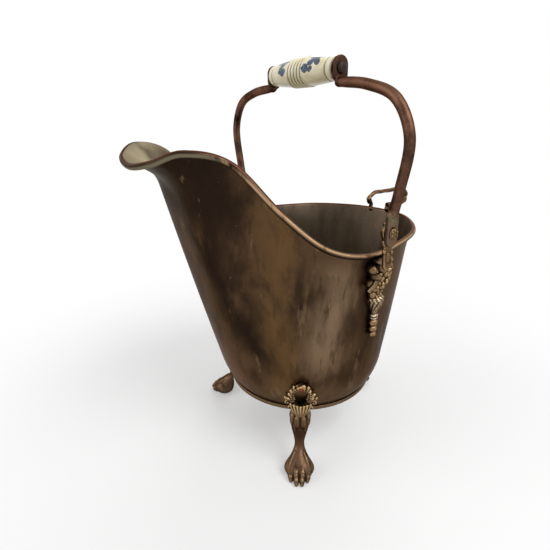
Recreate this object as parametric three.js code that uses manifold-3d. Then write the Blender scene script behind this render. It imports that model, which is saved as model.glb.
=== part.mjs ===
// Coal scuttle in patinated brass: a thin bucket with a broad pouring spout and a rolled rim,
// a round pan as its base, three cast paw feet, two cast side mounts that carry a swinging bail
// with a ceramic grip, and a cast scroll handle on the rear rim.
// Millimetres, +Z up, floor at z = 0. The spout points to -Y and the bail turns about X.
import * as THREE from "three";
import { mergeVertices } from "three/addons/utils/BufferGeometryUtils.js";
import Module from "manifold-3d";

const wasm = await Module();
wasm.setup();

const { cos, sin, sqrt, atan2, exp, max, min, abs, PI } = Math;
const rad = THREE.MathUtils.degToRad;
const v3 = (x, y, z) => new THREE.Vector3(x, y, z);

// ---------------------------------------------------------------- driving dimensions

const seat = 0.3; // gap between pieces that touch

// Bucket
const sheet = 1.0; // brass sheet of the wall
const baseRadius = 86.5; // outside of the wall at its foot
const baseHeight = 68.5; // foot of the wall above the floor
const collarHeight = 4.5; // short upright stretch of the wall above its foot
const hipRadius = 98; // where the rounded lower corner meets the long wall
const hipHeight = 95;
const belly = 0.8; // the long wall bows out by this much
const rimHeight = 254; // rim at the sides
const rimForward = 1.5; // the rim's middle stands in front of the base's axis
const sideReach = 115.5; // the rim's middle to the rim at the sides
const backReach = 143; // and at the back
const spoutReach = 182.5; // and at the tip of the spout
const spoutHeight = 334; // rim at the tip of the spout
const spoutEarRise = 13; // how much the spout's corners stand above its tip
const sideFlare = 2.5; // how far the wall turns out below the rim
const sideFlareDrop = 9; // height of that turn
const lipFlare = 29; // how far the lip of the spout turns out
const lipDrop = 10; // height of the lip
const lipSpread = rad(29.5); // how quickly the lip fades round the spout

// Rolled rim
const wireRadius = 1.5;
const rollTurn = rad(285); // how far the sheet wraps the wire

// Base pan
const panSheet = 1.0;
const panRise = 6; // floor of the pan above the foot of the wall
const bandHeight = 3; // folded edge outside the wall

// Feet
const footAngles = { front_right: 54, rear: 180, front_left: 306 }; // from the spout, anticlockwise
const pawReach = 113.5; // axis to the middle of the sole
const pawHalfWidth = 15.3;
const ankleHeight = 31;
const ankleHalfWidth = 5.7;
const kneeHalfWidth = 12.2;
const toeCount = 4;
const crestRadius = 11.5; // arch of the openwork crest
const crestHeight = 90; // centre of that arch above the floor
const crestBeads = 5;

// Bail and its mounts
const pivotHeight = 276.3;
const pivotForward = 3.1; // pivot axis in front of the base's axis
const bailHalfWidth = 130.4; // middle of the tab at the pivot
const bailRod = 9.2; // rod diameter
const bailBelly = 140.7; // half width at the widest
const gripHeight = 411.4; // middle of the grip
const bailBellyHeight = pivotHeight + 0.59 * (gripHeight - pivotHeight);
const bailTopHeight = gripHeight - 14.8; // middle of the rod under the grip
const bailLean = rad(1.9); // the bail stands leaning forward
const tabWidth = 11;
const tabThickness = 4.7;
const tabTop = 292;
const tabBottom = 263.5;
const lugGap = 0.3; // between the mount's eye and the tab
const lugThickness = 3.6;
const pinRadius = 2.8;
const pinClearance = 0.3;
const rosetteRadius = 5.4;
const rosetteHeight = 2.6;

// Cast drop under each eye, measured down the wall from the foot of the strap
const strapFoot = 247; // height where the strap meets the fruit
const mountLean = rad(6.5); // the casting leans back as it goes down
const fruitRadius = 5.2;
const vaseTop = 209;
const vaseLength = 21.5;
const vaseRadius = 7.6;
const beadRadii = [4.3, 3.8, 3.3];
const dropBehind = 1.8; // the drop stands this far behind the line of the strap

// Grip
const gripLength = 100;
const gripBehind = 4; // the grip hangs this far behind the plane of the rods
const gripEndRadius = 9.7;
const gripMidRadius = 13.2;
const gripRibs = 5;
const ribPitch = 3.4;
const boltRadius = 2.8;
const boltClearance = 0.7; // the ceramic turns loosely on its bolt
const washerThickness = 1.4;
const washerRadius = 8;
const earThickness = 3.6;
const earHalfWidth = 6.4;
const earTop = gripHeight + 10.6;
const nutAcross = 8;
const nutThickness = 3;
const boltHeadHeight = 2.6;

// Rear handle
const rearTop = 281.5; // middle of its top bar
const rearFront = 102.5; // front end of the scroll, from the base's axis
const rearBack = 170.5; // rearmost bend
const rearThin = 2.5; // bar radius at the curled end
const rearThick = 5.2; // bar radius at the root
const rearPlateWidth = 21;
const rearPlateDrop = 38; // how far the root plate runs down the wall

// Rivets and screws
const rivetRadius = 1.5;
const rivetHead = 3.3;
const rivetHeadHeight = 1.5;
const headSeat = 0.6; // under a head on the curved wall

const seamForward = 1; // the front and back sheets meet this far in front of the base's axis
const columns = 60; // of the bucket wall

// ---------------------------------------------------------------- materials

const finish = (color, roughness, metalness) =>
  new THREE.MeshStandardMaterial({ color, roughness, metalness });
const bodyBrass = finish(0x6d5538, 0.38, 0.9);
const beadBrass = finish(0xa08a5c, 0.34, 0.95);
const castBrass = finish(0x8a6f45, 0.42, 0.9);
const rodCopper = finish(0x8c6650, 0.55, 0.8);
const ironDark = finish(0x3b3430, 0.6, 0.8);
const ceramic = finish(0xe9e2cf, 0.18, 0.0);

// ---------------------------------------------------------------- solids and joins

// A closed geometry as a solid, its faces turned outwards if need be.
function solid(geometry) {
  const bare = (geometry.index ? geometry.toNonIndexed() : geometry).clone();
  for (const name of Object.keys(bare.attributes)) {
    if (name !== "position") bare.deleteAttribute(name);
  }
  const merged = mergeVertices(bare, 1e-4);
  const made = new wasm.Manifold(
    new wasm.Mesh({
      numProp: 3,
      vertProperties: merged.attributes.position.array,
      triVerts: new Uint32Array(merged.index.array),
    }),
  );
  if (made.volume() > 0) return made;
  const index = merged.index.array;
  for (let i = 0; i < index.length; i += 3) {
    [index[i + 1], index[i + 2]] = [index[i + 2], index[i + 1]];
  }
  return solid(merged);
}

function geometryOf(made) {
  const mesh = made.getMesh();
  const geometry = new THREE.BufferGeometry();
  geometry.setAttribute("position", new THREE.BufferAttribute(mesh.vertProperties, 3));
  geometry.setIndex(new THREE.BufferAttribute(mesh.triVerts, 1));
  geometry.computeVertexNormals();
  return geometry;
}

const join = (list) => list.reduce((sum, next) => sum.add(next));
const cut = (from, list) => list.reduce((rest, next) => rest.subtract(next), from);
const moved = (geometry, matrix) => geometry.clone().applyMatrix4(matrix);

// Rings of points skinned into one closed surface. An open loft gets a flat fan at each end.
function loft(rings, closed = false) {
  const count = rings[0].length;
  const points = rings.flat();
  const index = [];
  const bands = closed ? rings.length : rings.length - 1;
  for (let i = 0; i < bands; i++) {
    const a = i * count;
    const b = ((i + 1) % rings.length) * count;
    for (let j = 0; j < count; j++) {
      const k = (j + 1) % count;
      index.push(a + j, b + j, b + k, a + j, b + k, a + k);
    }
  }
  if (!closed) {
    for (const [start, turn] of [[0, 1], [(rings.length - 1) * count, -1]]) {
      const middle = v3(0, 0, 0);
      for (let j = 0; j < count; j++) middle.addScaledVector(points[start + j], 1 / count);
      points.push(middle);
      for (let j = 0; j < count; j++) {
        const pair = [start + j, start + ((j + 1) % count)];
        if (turn < 0) pair.reverse();
        index.push(points.length - 1, pair[0], pair[1]);
      }
    }
  }
  const geometry = new THREE.BufferGeometry().setFromPoints(points);
  geometry.setIndex(index);
  return geometry;
}

// A round bar along a path, its radius given at each point; the frame is carried without twist.
function bar(path, radiusAt, sides, flatten = 1, turn = 0) {
  let side = null;
  const rings = path.map((point, i) => {
    const along = path[min(i + 1, path.length - 1)].clone().sub(path[max(i - 1, 0)]).normalize();
    if (!side) side = abs(along.x) < 0.9 ? v3(1, 0, 0) : v3(0, 1, 0);
    side = side.clone().addScaledVector(along, -side.dot(along)).normalize();
    const up = along.clone().cross(side);
    const radius = radiusAt(i / (path.length - 1));
    const spin = turn * (i / (path.length - 1));
    return Array.from({ length: sides }, (_, j) => {
      const a = (2 * PI * j) / sides;
      const p = radius * cos(a);
      const q = radius * flatten * sin(a);
      return point.clone()
        .addScaledVector(side, p * cos(spin) - q * sin(spin))
        .addScaledVector(up, p * sin(spin) + q * cos(spin));
    });
  });
  return loft(rings);
}

const lathe = (profile, segments) =>
  new THREE.LatheGeometry(profile.map(([r, h]) => new THREE.Vector2(r, h)), segments);

function egg(centre, halfAxes, matrix = new THREE.Matrix4(), across = 9, down = 6) {
  const shape = new THREE.SphereGeometry(1, across, down);
  shape.scale(...halfAxes);
  shape.translate(...centre);
  return solid(moved(shape, matrix));
}

// A frame whose Z is the outward normal, X runs to the side and Y up along the surface.
function frameAt(origin, normal, up) {
  const side = up.clone().cross(normal).normalize();
  const rise = normal.clone().cross(side).normalize();
  return new THREE.Matrix4().makeBasis(side, rise, normal).setPosition(origin);
}

// ---------------------------------------------------------------- bucket wall

// Rim stations round half the bucket: degrees from the spout, reach from the axis, height.
const rimStations = [
  [0, spoutReach, spoutHeight],
  [13, spoutReach - 1, spoutHeight + 0.4 * spoutEarRise],
  [21.5, spoutReach - 14, spoutHeight + spoutEarRise],
  [31, spoutReach - 40, spoutHeight + 0.2 * spoutEarRise],
  [46.5, sideReach + 14, rimHeight + 42],
  [63, sideReach + 7, rimHeight + 11.5],
  [83, sideReach, rimHeight],
  [108, sideReach - 5, rimHeight],
  [136, sideReach + 4, rimHeight + 1],
  [161, backReach - 11.5, rimHeight + 1],
  [180, backReach, rimHeight - 1],
];
const stationPoint = ([degrees, reach, height], mirror) =>
  v3(mirror * reach * sin(rad(degrees)), -reach * cos(rad(degrees)) - rimForward, height);
const rimCurve = new THREE.CatmullRomCurve3(
  [
    ...rimStations.map((s) => stationPoint(s, 1)),
    ...rimStations.slice(1, -1).reverse().map((s) => stationPoint(s, -1)),
  ],
  true,
  "catmullrom",
  0.5,
);
const rimPoint = (share) => rimCurve.getPoint(((share % 1) + 1) % 1);
const angleOf = (point) => atan2(point.x, -point.y);

// Share of the rim curve at a plan angle from the spout, found by halving on the right-hand side.
function rimShare(angle) {
  const wanted = abs(angle);
  let low = 0;
  let high = 0.5;
  for (let i = 0; i < 40; i++) {
    const mid = (low + high) / 2;
    if (angleOf(rimPoint(mid)) < wanted) low = mid;
    else high = mid;
  }
  return angle < 0 ? 1 - low : low;
}

// The wall's middle line at a plan angle, as [reach, height] from the foot to the rim.
const lipShare = (angle) => exp(-((angle / lipSpread) ** 2));
function wallLine(angle, rim) {
  const steps = 3;
  const reach = Math.hypot(rim.x, rim.y);
  const lip = lipShare(angle);
  const bend = (from, by, to, t) =>
    [0, 1].map((k) => (1 - t) ** 2 * from[k] + 2 * t * (1 - t) * by[k] + t * t * to[k]);
  const foot = [baseRadius - sheet / 2, baseHeight];
  const collar = [foot[0], baseHeight + collarHeight];
  const hip = [hipRadius, hipHeight];
  const knee = [
    reach - sideFlare - (lipFlare - sideFlare) * lip,
    rim.z - sideFlareDrop - (lipDrop - sideFlareDrop) * lip,
  ];
  const onWall = (share) => [0, 1].map((k) => hip[k] + (knee[k] - hip[k]) * share);
  const line = [foot];
  for (let i = 0; i < steps; i++) line.push(bend(collar, [hipRadius - 3, hipHeight - 12], onWall(0.05), i / 2));
  for (const share of [0.35, 0.65]) line.push(onWall(share).map((p, k) => p + (k ? 0 : belly)));
  for (let i = 0; i <= steps; i++) line.push(bend(onWall(0.92), knee, [reach, rim.z], i / steps));
  return line;
}

const signedAngle = (share) => {
  const angle = angleOf(rimPoint(share));
  return share > 0.5 && angle > 0 ? angle - 2 * PI : angle;
};

function wallColumn(share) {
  const rim = rimPoint(share);
  const angle = signedAngle(share);
  return wallLine(angle, rim).map(([reach, z]) => v3(reach * sin(angle), -reach * cos(angle), z));
}

const wallGrid = Array.from({ length: columns }, (_, i) => wallColumn(i / columns));
const rows = wallGrid[0].length;

// Outward normal of the middle surface, from its neighbours in the grid.
function gridNormal(i, j) {
  const next = wallGrid[(i + 1) % columns][j];
  const last = wallGrid[(i + columns - 1) % columns][j];
  const above = wallGrid[i][min(j + 1, rows - 1)];
  const below = wallGrid[i][max(j - 1, 0)];
  return next.clone().sub(last).cross(above.clone().sub(below)).normalize();
}
const wallNormals = wallGrid.map((column, i) => column.map((_, j) => gridNormal(i, j)));

// Middle radius of the roll, so that the wire lies in it with its seat.
const rollRadius = wireRadius + seat + sheet / 2;

// Frame of the rolled rim at a column: out is the wall's outside, over runs on along the wall.
function rimFrame(i) {
  const rim = wallGrid[i][rows - 1];
  const along = wallGrid[(i + 1) % columns][rows - 1].clone()
    .sub(wallGrid[(i + columns - 1) % columns][rows - 1]).normalize();
  const out = wallNormals[i][rows - 1];
  const over = out.clone().cross(along).normalize();
  if (over.dot(wallGrid[i][rows - 1].clone().sub(wallGrid[i][rows - 2])) < 0) over.negate();
  return { rim, out, over, centre: rim.clone().addScaledVector(out, rollRadius) };
}

// Closed ring of one column: up the outside, round the roll, and back down the inside.
function shellRing(i) {
  const { out, over, centre } = rimFrame(i);
  const outside = [];
  const inside = [];
  wallGrid[i].forEach((point, j) => {
    outside.push(point.clone().addScaledVector(wallNormals[i][j], sheet / 2));
    inside.push(point.clone().addScaledVector(wallNormals[i][j], -sheet / 2));
  });
  const steps = 5;
  // The inner polygon is drawn round its circle, so that its flats clear the wire too.
  const inner = (rollRadius - sheet / 2) / cos(rollTurn / steps / 2);
  for (let k = 1; k <= steps; k++) {
    const a = (rollTurn * k) / steps;
    const arm = over.clone().multiplyScalar(sin(a)).addScaledVector(out, -cos(a));
    outside.push(centre.clone().addScaledVector(arm, inner));
    inside.push(centre.clone().addScaledVector(arm, rollRadius + sheet / 2));
  }
  return [...outside, ...inside.reverse()];
}

const columnList = Array.from({ length: columns }, (_, i) => i);
const ringAround = (centre, a, b, radius, sides) =>
  Array.from({ length: sides }, (_, j) => centre.clone()
    .addScaledVector(a, radius * cos((2 * PI * j) / sides))
    .addScaledVector(b, radius * sin((2 * PI * j) / sides)));
const rimTube = (radius, sides) =>
  solid(loft(columnList.map((i) => {
    const { out, over, centre } = rimFrame(i);
    return ringAround(centre, out, over, radius, sides);
  }), true));

// Base pan: a disc whose edge turns down inside the wall, under it, and up outside it.
const wallInside = baseRadius - sheet;
const panTop = baseHeight + panRise;
const panProfile = (grow) => [
  [0, panTop - panSheet],
  [wallInside - seat - panSheet, panTop - panSheet],
  [wallInside - seat - panSheet, baseHeight - seat - panSheet - grow],
  [baseRadius + seat + panSheet + grow, baseHeight - seat - panSheet - grow],
  [baseRadius + seat + panSheet + grow, baseHeight + bandHeight + grow],
  [baseRadius + seat, baseHeight + bandHeight + grow],
  [baseRadius + seat, baseHeight - seat],
  [wallInside - seat, baseHeight - seat],
  [wallInside - seat, panTop],
  [0, panTop],
];
const upright = new THREE.Matrix4().makeRotationX(PI / 2);
const turned = (profile, segments) => solid(moved(lathe(profile, segments), upright));
// Turned on the wall's own columns, so that the facets of the two lie parallel.
const wallAngles = columnList.map((i) => signedAngle(i / columns));
const turnedOnWall = (profile) =>
  solid(loft(profile.slice(1, -1).map(([radius, z]) =>
    wallAngles.map((angle) => v3(radius * sin(angle), -radius * cos(angle), z)))));
const pan = turnedOnWall(panProfile(0));

// All that lies inside the bucket's outer skin, grown by a gap: castings are cut to sit on it.
function bucketEnvelope(gap) {
  const levels = [];
  for (let j = 0; j < rows; j++) {
    levels.push(columnList.map((i) =>
      wallGrid[i][j].clone().addScaledVector(wallNormals[i][j], sheet / 2 + gap)));
  }
  const body = loft(levels);
  const cap = body.attributes.position;
  cap.setXYZ(cap.count - 1, 0, 0, rimHeight - 60);
  const band = baseRadius + seat + panSheet + gap;
  const lower = baseHeight - seat - panSheet - gap;
  const foot = [[0, lower], [band, lower], [band, baseHeight + bandHeight + gap],
    [0, baseHeight + bandHeight + gap]];
  return join([solid(body), rimTube(rollRadius + sheet / 2 + gap, 12), turnedOnWall(foot)]);
}
const envelope = bucketEnvelope(seat);

// Frame on the wall's outside at a plan angle and height.
function wallFrame(angle, height) {
  const pointAt = (a) => {
    const line = wallLine(a > PI ? a - 2 * PI : a, rimPoint(rimShare(a > PI ? a - 2 * PI : a)));
    let j = 0;
    while (j < line.length - 2 && line[j + 1][1] < height) j++;
    const t = (height - line[j][1]) / (line[j + 1][1] - line[j][1]);
    const reach = line[j][0] + (line[j + 1][0] - line[j][0]) * t;
    const slope = [line[j + 1][0] - line[j][0], line[j + 1][1] - line[j][1]];
    return { point: v3(reach * sin(a), -reach * cos(a), height), slope };
  };
  const here = pointAt(angle);
  const step = 0.02;
  const across = pointAt(angle + step).point.sub(pointAt(angle - step).point);
  const up = v3(here.slope[0] * sin(angle), -here.slope[0] * cos(angle), here.slope[1]).normalize();
  const normal = across.cross(up).normalize();
  return frameAt(here.point.addScaledVector(normal, sheet / 2), normal, up);
}

// ---------------------------------------------------------------- rivets and screws

// A rivet along a frame's Z: head inside the bucket, shank out through the wall by `reach`.
// With an outer head it closes over the casting, without one it ends in it as a screw does.
function fastener(frame, reach, outerHead) {
  const inner = -sheet - headSeat;
  const profile = [
    [0, inner - rivetHeadHeight], [rivetHead * 0.6, inner - rivetHeadHeight],
    [rivetHead, inner], [rivetRadius, inner],
  ];
  if (outerHead) {
    profile.push([rivetRadius, reach + seat], [rivetHead * 0.8, reach + seat],
      [rivetHead * 0.45, reach + seat + rivetHeadHeight], [0, reach + seat + rivetHeadHeight]);
  } else {
    profile.push([rivetRadius, reach], [0, reach]);
  }
  return solid(moved(moved(lathe(profile, 8), upright), frame));
}
function bore(frame, from, to, radius = rivetRadius + seat) {
  const profile = [[0, from], [radius, from], [radius, to], [0, to]];
  return solid(moved(moved(lathe(profile, 8), upright), frame));
}

// ---------------------------------------------------------------- feet

function footCasting(angle) {
  const turn = new THREE.Matrix4().makeRotationZ(angle);
  // Sections down the leg: height, reach, half width, half depth.
  const kneeReach = baseRadius + seat + panSheet + 5.5;
  const legTop = crestHeight - crestRadius + 5;
  const sections = [
    [legTop, kneeReach + 5, 0.85 * kneeHalfWidth, 4.5],
    [legTop - 6, kneeReach + 4, kneeHalfWidth, 6.5],
    [baseHeight + 3, kneeReach + 1, kneeHalfWidth, 7],
    [baseHeight - 8, kneeReach + 1.8, 0.9 * kneeHalfWidth, 7],
    [baseHeight - 23, kneeReach + 2, 0.68 * kneeHalfWidth, 6],
    [ankleHeight, kneeReach + 3, ankleHalfWidth, 5.2],
    [ankleHeight - 6, kneeReach + 4.5, 1.05 * ankleHalfWidth, 5.6],
    [0.6 * ankleHeight, pawReach - 5, 0.68 * pawHalfWidth, 8.5],
    [0.35 * ankleHeight, pawReach - 2, pawHalfWidth, 12.5],
    [0.15 * ankleHeight, pawReach - 1.5, pawHalfWidth, 13],
    [0, pawReach - 2.5, 0.8 * pawHalfWidth, 11.5],
  ];
  const leg = solid(moved(loft(sections.map(([z, reach, wide, deep]) =>
    Array.from({ length: 10 }, (_, j) => {
      const a = (2 * PI * j) / 10;
      return v3(wide * cos(a), -reach + deep * sin(a), z);
    }))), turn));
  const pieces = [leg];
  // Toes fan out at the front of the paw.
  const toeHalf = pawHalfWidth / toeCount + 0.9;
  for (let i = 0; i < toeCount; i++) {
    const share = (i - (toeCount - 1) / 2) / toeCount;
    const x = 1.9 * share * pawHalfWidth;
    const reach = pawReach + 10.5 - 52 * share * share;
    pieces.push(egg([x, -reach, 4.4], [toeHalf, 7.6, 6.6], turn, 7, 4));
  }
  // Three ribs spread over the knee.
  const wall = wallFrame(angle, crestHeight);
  for (const side of [-1, 0, 1]) {
    const rib = [v3(side * 7, -crestRadius + 1, 1.5), v3(side * 4.5, -crestRadius - 7, 6.5),
      v3(side * 2, -crestRadius - 17, 9)];
    pieces.push(solid(moved(bar(rib, () => 2.4, 5), wall)));
  }
  // Openwork crest: an arch with beads, and a scroll ring at each side.
  const arch = Array.from({ length: 9 }, (_, i) => {
    const a = PI * (1.2 - (1.4 * i) / 8);
    return v3(crestRadius * cos(a), crestRadius * sin(a), 1.4);
  });
  pieces.push(solid(moved(bar(arch, () => 2.5, 5), wall)));
  for (let i = 0; i < crestBeads; i++) {
    const a = (PI * (i + 0.5)) / crestBeads;
    const size = 2.4 + 2.6 * sin(a) ** 2;
    const r = crestRadius + 0.8 * size;
    pieces.push(egg([r * cos(a), (r + 0.5 * size) * sin(a), 2], [size, size, 0.8 * size], wall, 5, 4));
  }
  for (const side of [-1, 1]) {
    const scroll = new THREE.TorusGeometry(3.9, 1.9, 4, 7);
    scroll.translate(side * (crestRadius + 4), -5.5, 1.5);
    pieces.push(solid(moved(scroll, wall)));
  }
  const below = new THREE.BoxGeometry(80, 80, 20);
  below.translate(0, -pawReach, -10);
  return cut(join(pieces), [envelope, solid(moved(below, turn))]);
}
// The rivet goes through the solid metal under the arch.
const footRivetFrame = (angle) => wallFrame(angle, crestHeight - crestRadius - 0.5);
const footRivetReach = 6;

// ---------------------------------------------------------------- side mounts (right-hand one)

const pivot = v3(0, -pivotForward, pivotHeight);
const alongX = new THREE.Matrix4().makeRotationZ(-PI / 2);
// A lathe round the X axis through the given point.
const turnedX = (profile, segments, centre) => {
  const shape = moved(lathe(profile, segments), alongX);
  shape.translate(0, centre.y, centre.z);
  return solid(shape);
};

// An outline in the YZ plane, thickened along X.
function slab(outline, from, to, holes = []) {
  const shape = outline;
  shape.holes.push(...holes);
  const made = new THREE.ExtrudeGeometry(shape, {
    depth: to - from, bevelEnabled: false, curveSegments: 6,
  });
  const place = new THREE.Matrix4().makeBasis(v3(0, 1, 0), v3(0, 0, 1), v3(1, 0, 0))
    .setPosition(from, 0, 0);
  return solid(moved(made, place));
}
// A straight strip with round ends, standing on its end.
function strip(y, bottom, top, half) {
  const shape = new THREE.Shape();
  shape.absarc(y, top - half, half, 0, PI, false);
  shape.absarc(y, bottom + half, half, PI, 2 * PI, false);
  return shape;
}

const tabInside = bailHalfWidth - tabThickness / 2;
const lugOutside = tabInside - lugGap;
const lugInside = lugOutside - lugThickness;

// The casting's middle line: how far behind the base's axis it runs at a height.
const mountLine = (z) => -pivotForward - 0.5 + (pivotHeight - z) * Math.tan(mountLean);
const dropMiddle = 205; // height where the drop's own frame touches the wall
const dropFrame = wallFrame(PI / 2 + (mountLine(dropMiddle) + dropBehind) / 106, dropMiddle)
  .multiply(new THREE.Matrix4().makeRotationZ(mountLean));
const stand = (z) => (z - dropMiddle) * 1.012; // height to distance up the drop's frame

function sideMount() {
  const strap = slab(strip(0, strapFoot - pivotHeight - 6, 6.5, 5.4), lugInside, lugOutside);
  const eye = turnedX([[0, lugInside], [6.8, lugInside], [6.8, lugOutside], [0, lugOutside]], 14, pivot);
  const hang = new THREE.Matrix4().makeRotationX(mountLean).setPosition(0, -pivotForward, pivotHeight);
  const wall = dropFrame;
  const pieces = [eye, solid(moved(geometryOf(strap), hang))];
  // Heights between the top of the vase and the foot of the strap.
  const up = (share) => stand(vaseTop + share * (strapFoot - vaseTop));
  // Shank that carries the strap down into the fruit.
  pieces.push(egg([-0.8, up(0.84), 9], [6, 9, 7.5], wall, 8, 5));
  // Core behind the fruit, then fruit in rows of two, three, three and two.
  pieces.push(egg([0, up(0.47), 2.5], [1.4 * fruitRadius, 17, 5], wall, 6, 5));
  const rowsOfFruit = [[2, 0.9, 1, 10], [3, 0.68, 1.75, 8], [3, 0.45, 1.6, 6.5], [2, 0.22, 1, 4.5]];
  rowsOfFruit.forEach(([count, share, wide, out], row) => {
    for (let i = 0; i < count; i++) {
      const x = wide * fruitRadius * ((2 * i) / (count - 1) - 1);
      const size = fruitRadius * (1 - 0.05 * row) * (i % 2 ? 1.1 : 0.96);
      pieces.push(egg([x, up(share) - 1.4 * (i % 2), 0.55 * out], [size, size, 0.65 * out + 2],
        wall, 6, 4));
    }
  });
  // A leaf stands out to the lower front of the fruit.
  const leaf = [v3(-4, up(0.6), 6), v3(-9, up(0.47), 7), v3(-14, up(0.32), 5)];
  pieces.push(solid(moved(bar(leaf, (t) => 3 - 0.9 * t, 5, 0.8), wall)));
  // Three-lobed cap over the vase.
  for (const side of [-1, 0, 1]) {
    pieces.push(egg([side * 5.6, stand(vaseTop + 3), 3], [4, 4.4, 3.8], wall, 6, 4));
  }
  // Vase, collar and beads are turned about one line down the wall.
  const profile = [[0, 0], [5.4, 0], [vaseRadius, -4], [vaseRadius - 0.7, -10], [3.4, -vaseLength + 3],
    [2.8, -vaseLength], [4.4, -vaseLength - 1.5], [4.4, -vaseLength - 5.5], [2.2, -vaseLength - 7]];
  let down = -vaseLength - 7;
  for (const bead of beadRadii) {
    profile.push([bead * 0.8, down - bead * 0.5], [bead, down - bead], [bead * 0.8, down - 1.5 * bead],
      [bead * 0.45, down - 1.95 * bead]);
    down -= 1.95 * bead;
  }
  profile.push([0, down - 0.4]);
  const vase = lathe(profile, 8);
  vase.translate(0, stand(vaseTop), 3);
  pieces.push(solid(moved(vase, wall)));
  return cut(join(pieces), [envelope]);
}
const mountScrewFrames = [233, vaseTop - 6].map((z) => dropFrame.clone()
  .multiply(new THREE.Matrix4().makeTranslation(0, stand(z), 0)));
const mountScrewReach = 5;

// ---------------------------------------------------------------- bail (right-hand arm)

function bailArm() {
  const y = -pivotForward;
  const tab = slab(strip(y, tabBottom, tabTop + 4, tabWidth / 2), tabInside, tabInside + tabThickness);
  const earInside = gripLength / 2 + washerThickness + 2 * seat;
  const ear = slab(strip(y + gripBehind, bailTopHeight - 0.5, earTop, earHalfWidth),
    earInside, earInside + earThickness);
  const knots = [
    v3(bailHalfWidth, y, tabTop - 8),
    v3(bailHalfWidth + 0.7, y, tabTop + 2),
    v3(bailHalfWidth + 0.48 * (bailBelly - bailHalfWidth), y, pivotHeight + 0.47 * (bailBellyHeight - pivotHeight)),
    v3(bailBelly, y, bailBellyHeight),
    v3(bailBelly - 16.7, y, bailTopHeight - 12),
    v3(bailBelly - 48.4, y, bailTopHeight - 0.5),
    v3(earInside + earThickness / 2, y + 0.4 * gripBehind, bailTopHeight + 3.5),
  ];
  const path = new THREE.CatmullRomCurve3(knots, false, "centripetal").getPoints(16);
  const rod = solid(bar(path, (t) => (bailRod / 2) * (t > 0.93 ? 0.9 : 0.55 + 0.45 * min(1, t / 0.1)), 9));
  return { arm: join([tab, rod, ear]), earInside };
}

// ---------------------------------------------------------------- grip

// Ceramic barrel about X: end collars with a groove behind each, and ribs round the middle.
function gripProfile() {
  const half = gripLength / 2;
  const hole = boltRadius + boltClearance;
  const barrel = (x) =>
    gripEndRadius + (gripMidRadius - gripEndRadius) * cos((abs(x) / half) * (PI / 2)) ** 0.8;
  const outer = [[gripEndRadius, half], [gripEndRadius + 0.6, half - 1.5], [gripEndRadius + 0.6, half - 5],
    [gripEndRadius - 0.5, half - 6], [gripEndRadius - 0.5, half - 7.5]];
  const ribsHalf = (gripRibs * ribPitch) / 2;
  for (const x of [0.74, 0.5].map((share) => share * half)) outer.push([barrel(x), x]);
  outer.push([barrel(ribsHalf + 1), ribsHalf + 1]);
  const ribs = [];
  for (let i = 0; i < gripRibs; i++) {
    const x = (i - (gripRibs - 1) / 2) * ribPitch;
    ribs.push([gripMidRadius - 0.6, x - ribPitch / 2], [gripMidRadius + 0.7, x]);
  }
  ribs.push([gripMidRadius - 0.6, ribsHalf]);
  const left = outer.map(([radius, x]) => [radius, -x]);
  return [[hole, -half], ...left, ...ribs, ...outer.reverse(), [hole, half], [hole, -half]];
}

// ---------------------------------------------------------------- rear handle

function rearHandle() {
  const back = rimPoint(0.5).y;
  const rimZ = rimPoint(0.5).z;
  const knots = [
    v3(0, back - 3, rimZ + 7.5),
    v3(0, back + 12, rimZ + 9),
    v3(0, rearBack - 1.5, rimZ + 14),
    v3(0, rearBack - 1, rearTop - 5.5),
    v3(0, rearBack - 12, rearTop),
    v3(0, (rearFront + back) / 2 + 8, rearTop),
    v3(0, rearFront + 10, rearTop - 0.5),
    v3(0, rearFront, rearTop - 7),
    v3(0, rearFront + 4.5, rearTop - 12.5),
    v3(0, rearFront + 5.5, rearTop - 19),
  ];
  const path = new THREE.CatmullRomCurve3(knots, false, "centripetal").getPoints(27);
  const size = (t) => rearThin + (rearThick - rearThin) * max(0, 1 - t / 0.42) ** 0.8;
  const pieces = [solid(bar(path, size, 6, 0.8, 5 * PI))];
  pieces.push(egg([0, rearFront + 5.5, rearTop - 20], [2.6, 2.6, 3], undefined, 6, 4));
  // Saddle over the rolled rim and a leaf-shaped plate down the outside of the wall.
  pieces.push(egg([0, back + 2, rimZ + 4], [6.5, 8, 5.6], undefined, 9, 5));
  const wall = wallFrame(PI, rimZ - 12);
  const half = rearPlateWidth / 2;
  const outline = new THREE.Shape();
  outline.moveTo(-half * 0.55, 12);
  outline.quadraticCurveTo(-half * 1.35, -8, -half * 0.6, -18);
  outline.quadraticCurveTo(-half * 0.5, -rearPlateDrop + 14, 0, -rearPlateDrop + 10);
  outline.quadraticCurveTo(half * 0.5, -rearPlateDrop + 14, half * 0.6, -18);
  outline.quadraticCurveTo(half * 1.35, -8, half * 0.55, 12);
  const plate = new THREE.ExtrudeGeometry(outline, {
    depth: 4.2, bevelEnabled: false, curveSegments: 4,
  });
  plate.translate(0, 0, -0.8);
  pieces.push(solid(moved(plate, wall)));
  pieces.push(egg([0, 6, 4], [6.2, 12, 5], wall, 8, 5));
  return cut(join(pieces), [envelope]);
}
const rearRivetFrames = [16, 27].map((down) => wallFrame(PI, rimStations.at(-1)[2] - down));
const rearRivetReach = 3.4;

// ---------------------------------------------------------------- assembly

const scuttle = new THREE.Group();
const bail = new THREE.Group();
bail.position.copy(pivot);
bail.rotation.x = bailLean;
scuttle.add(bail);
const toBail = new THREE.Matrix4().makeTranslation(0, -pivot.y, -pivot.z);
const mirror = new THREE.Matrix4().makeScale(-1, 1, 1);

function add(name, made, material, group = scuttle) {
  const mesh = new THREE.Mesh(geometryOf(made), material);
  mesh.name = name;
  group.add(mesh);
}
const mirrored = (made) => solid(moved(geometryOf(made), mirror));
const inBail = (made) => solid(moved(geometryOf(made), toBail));

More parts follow.
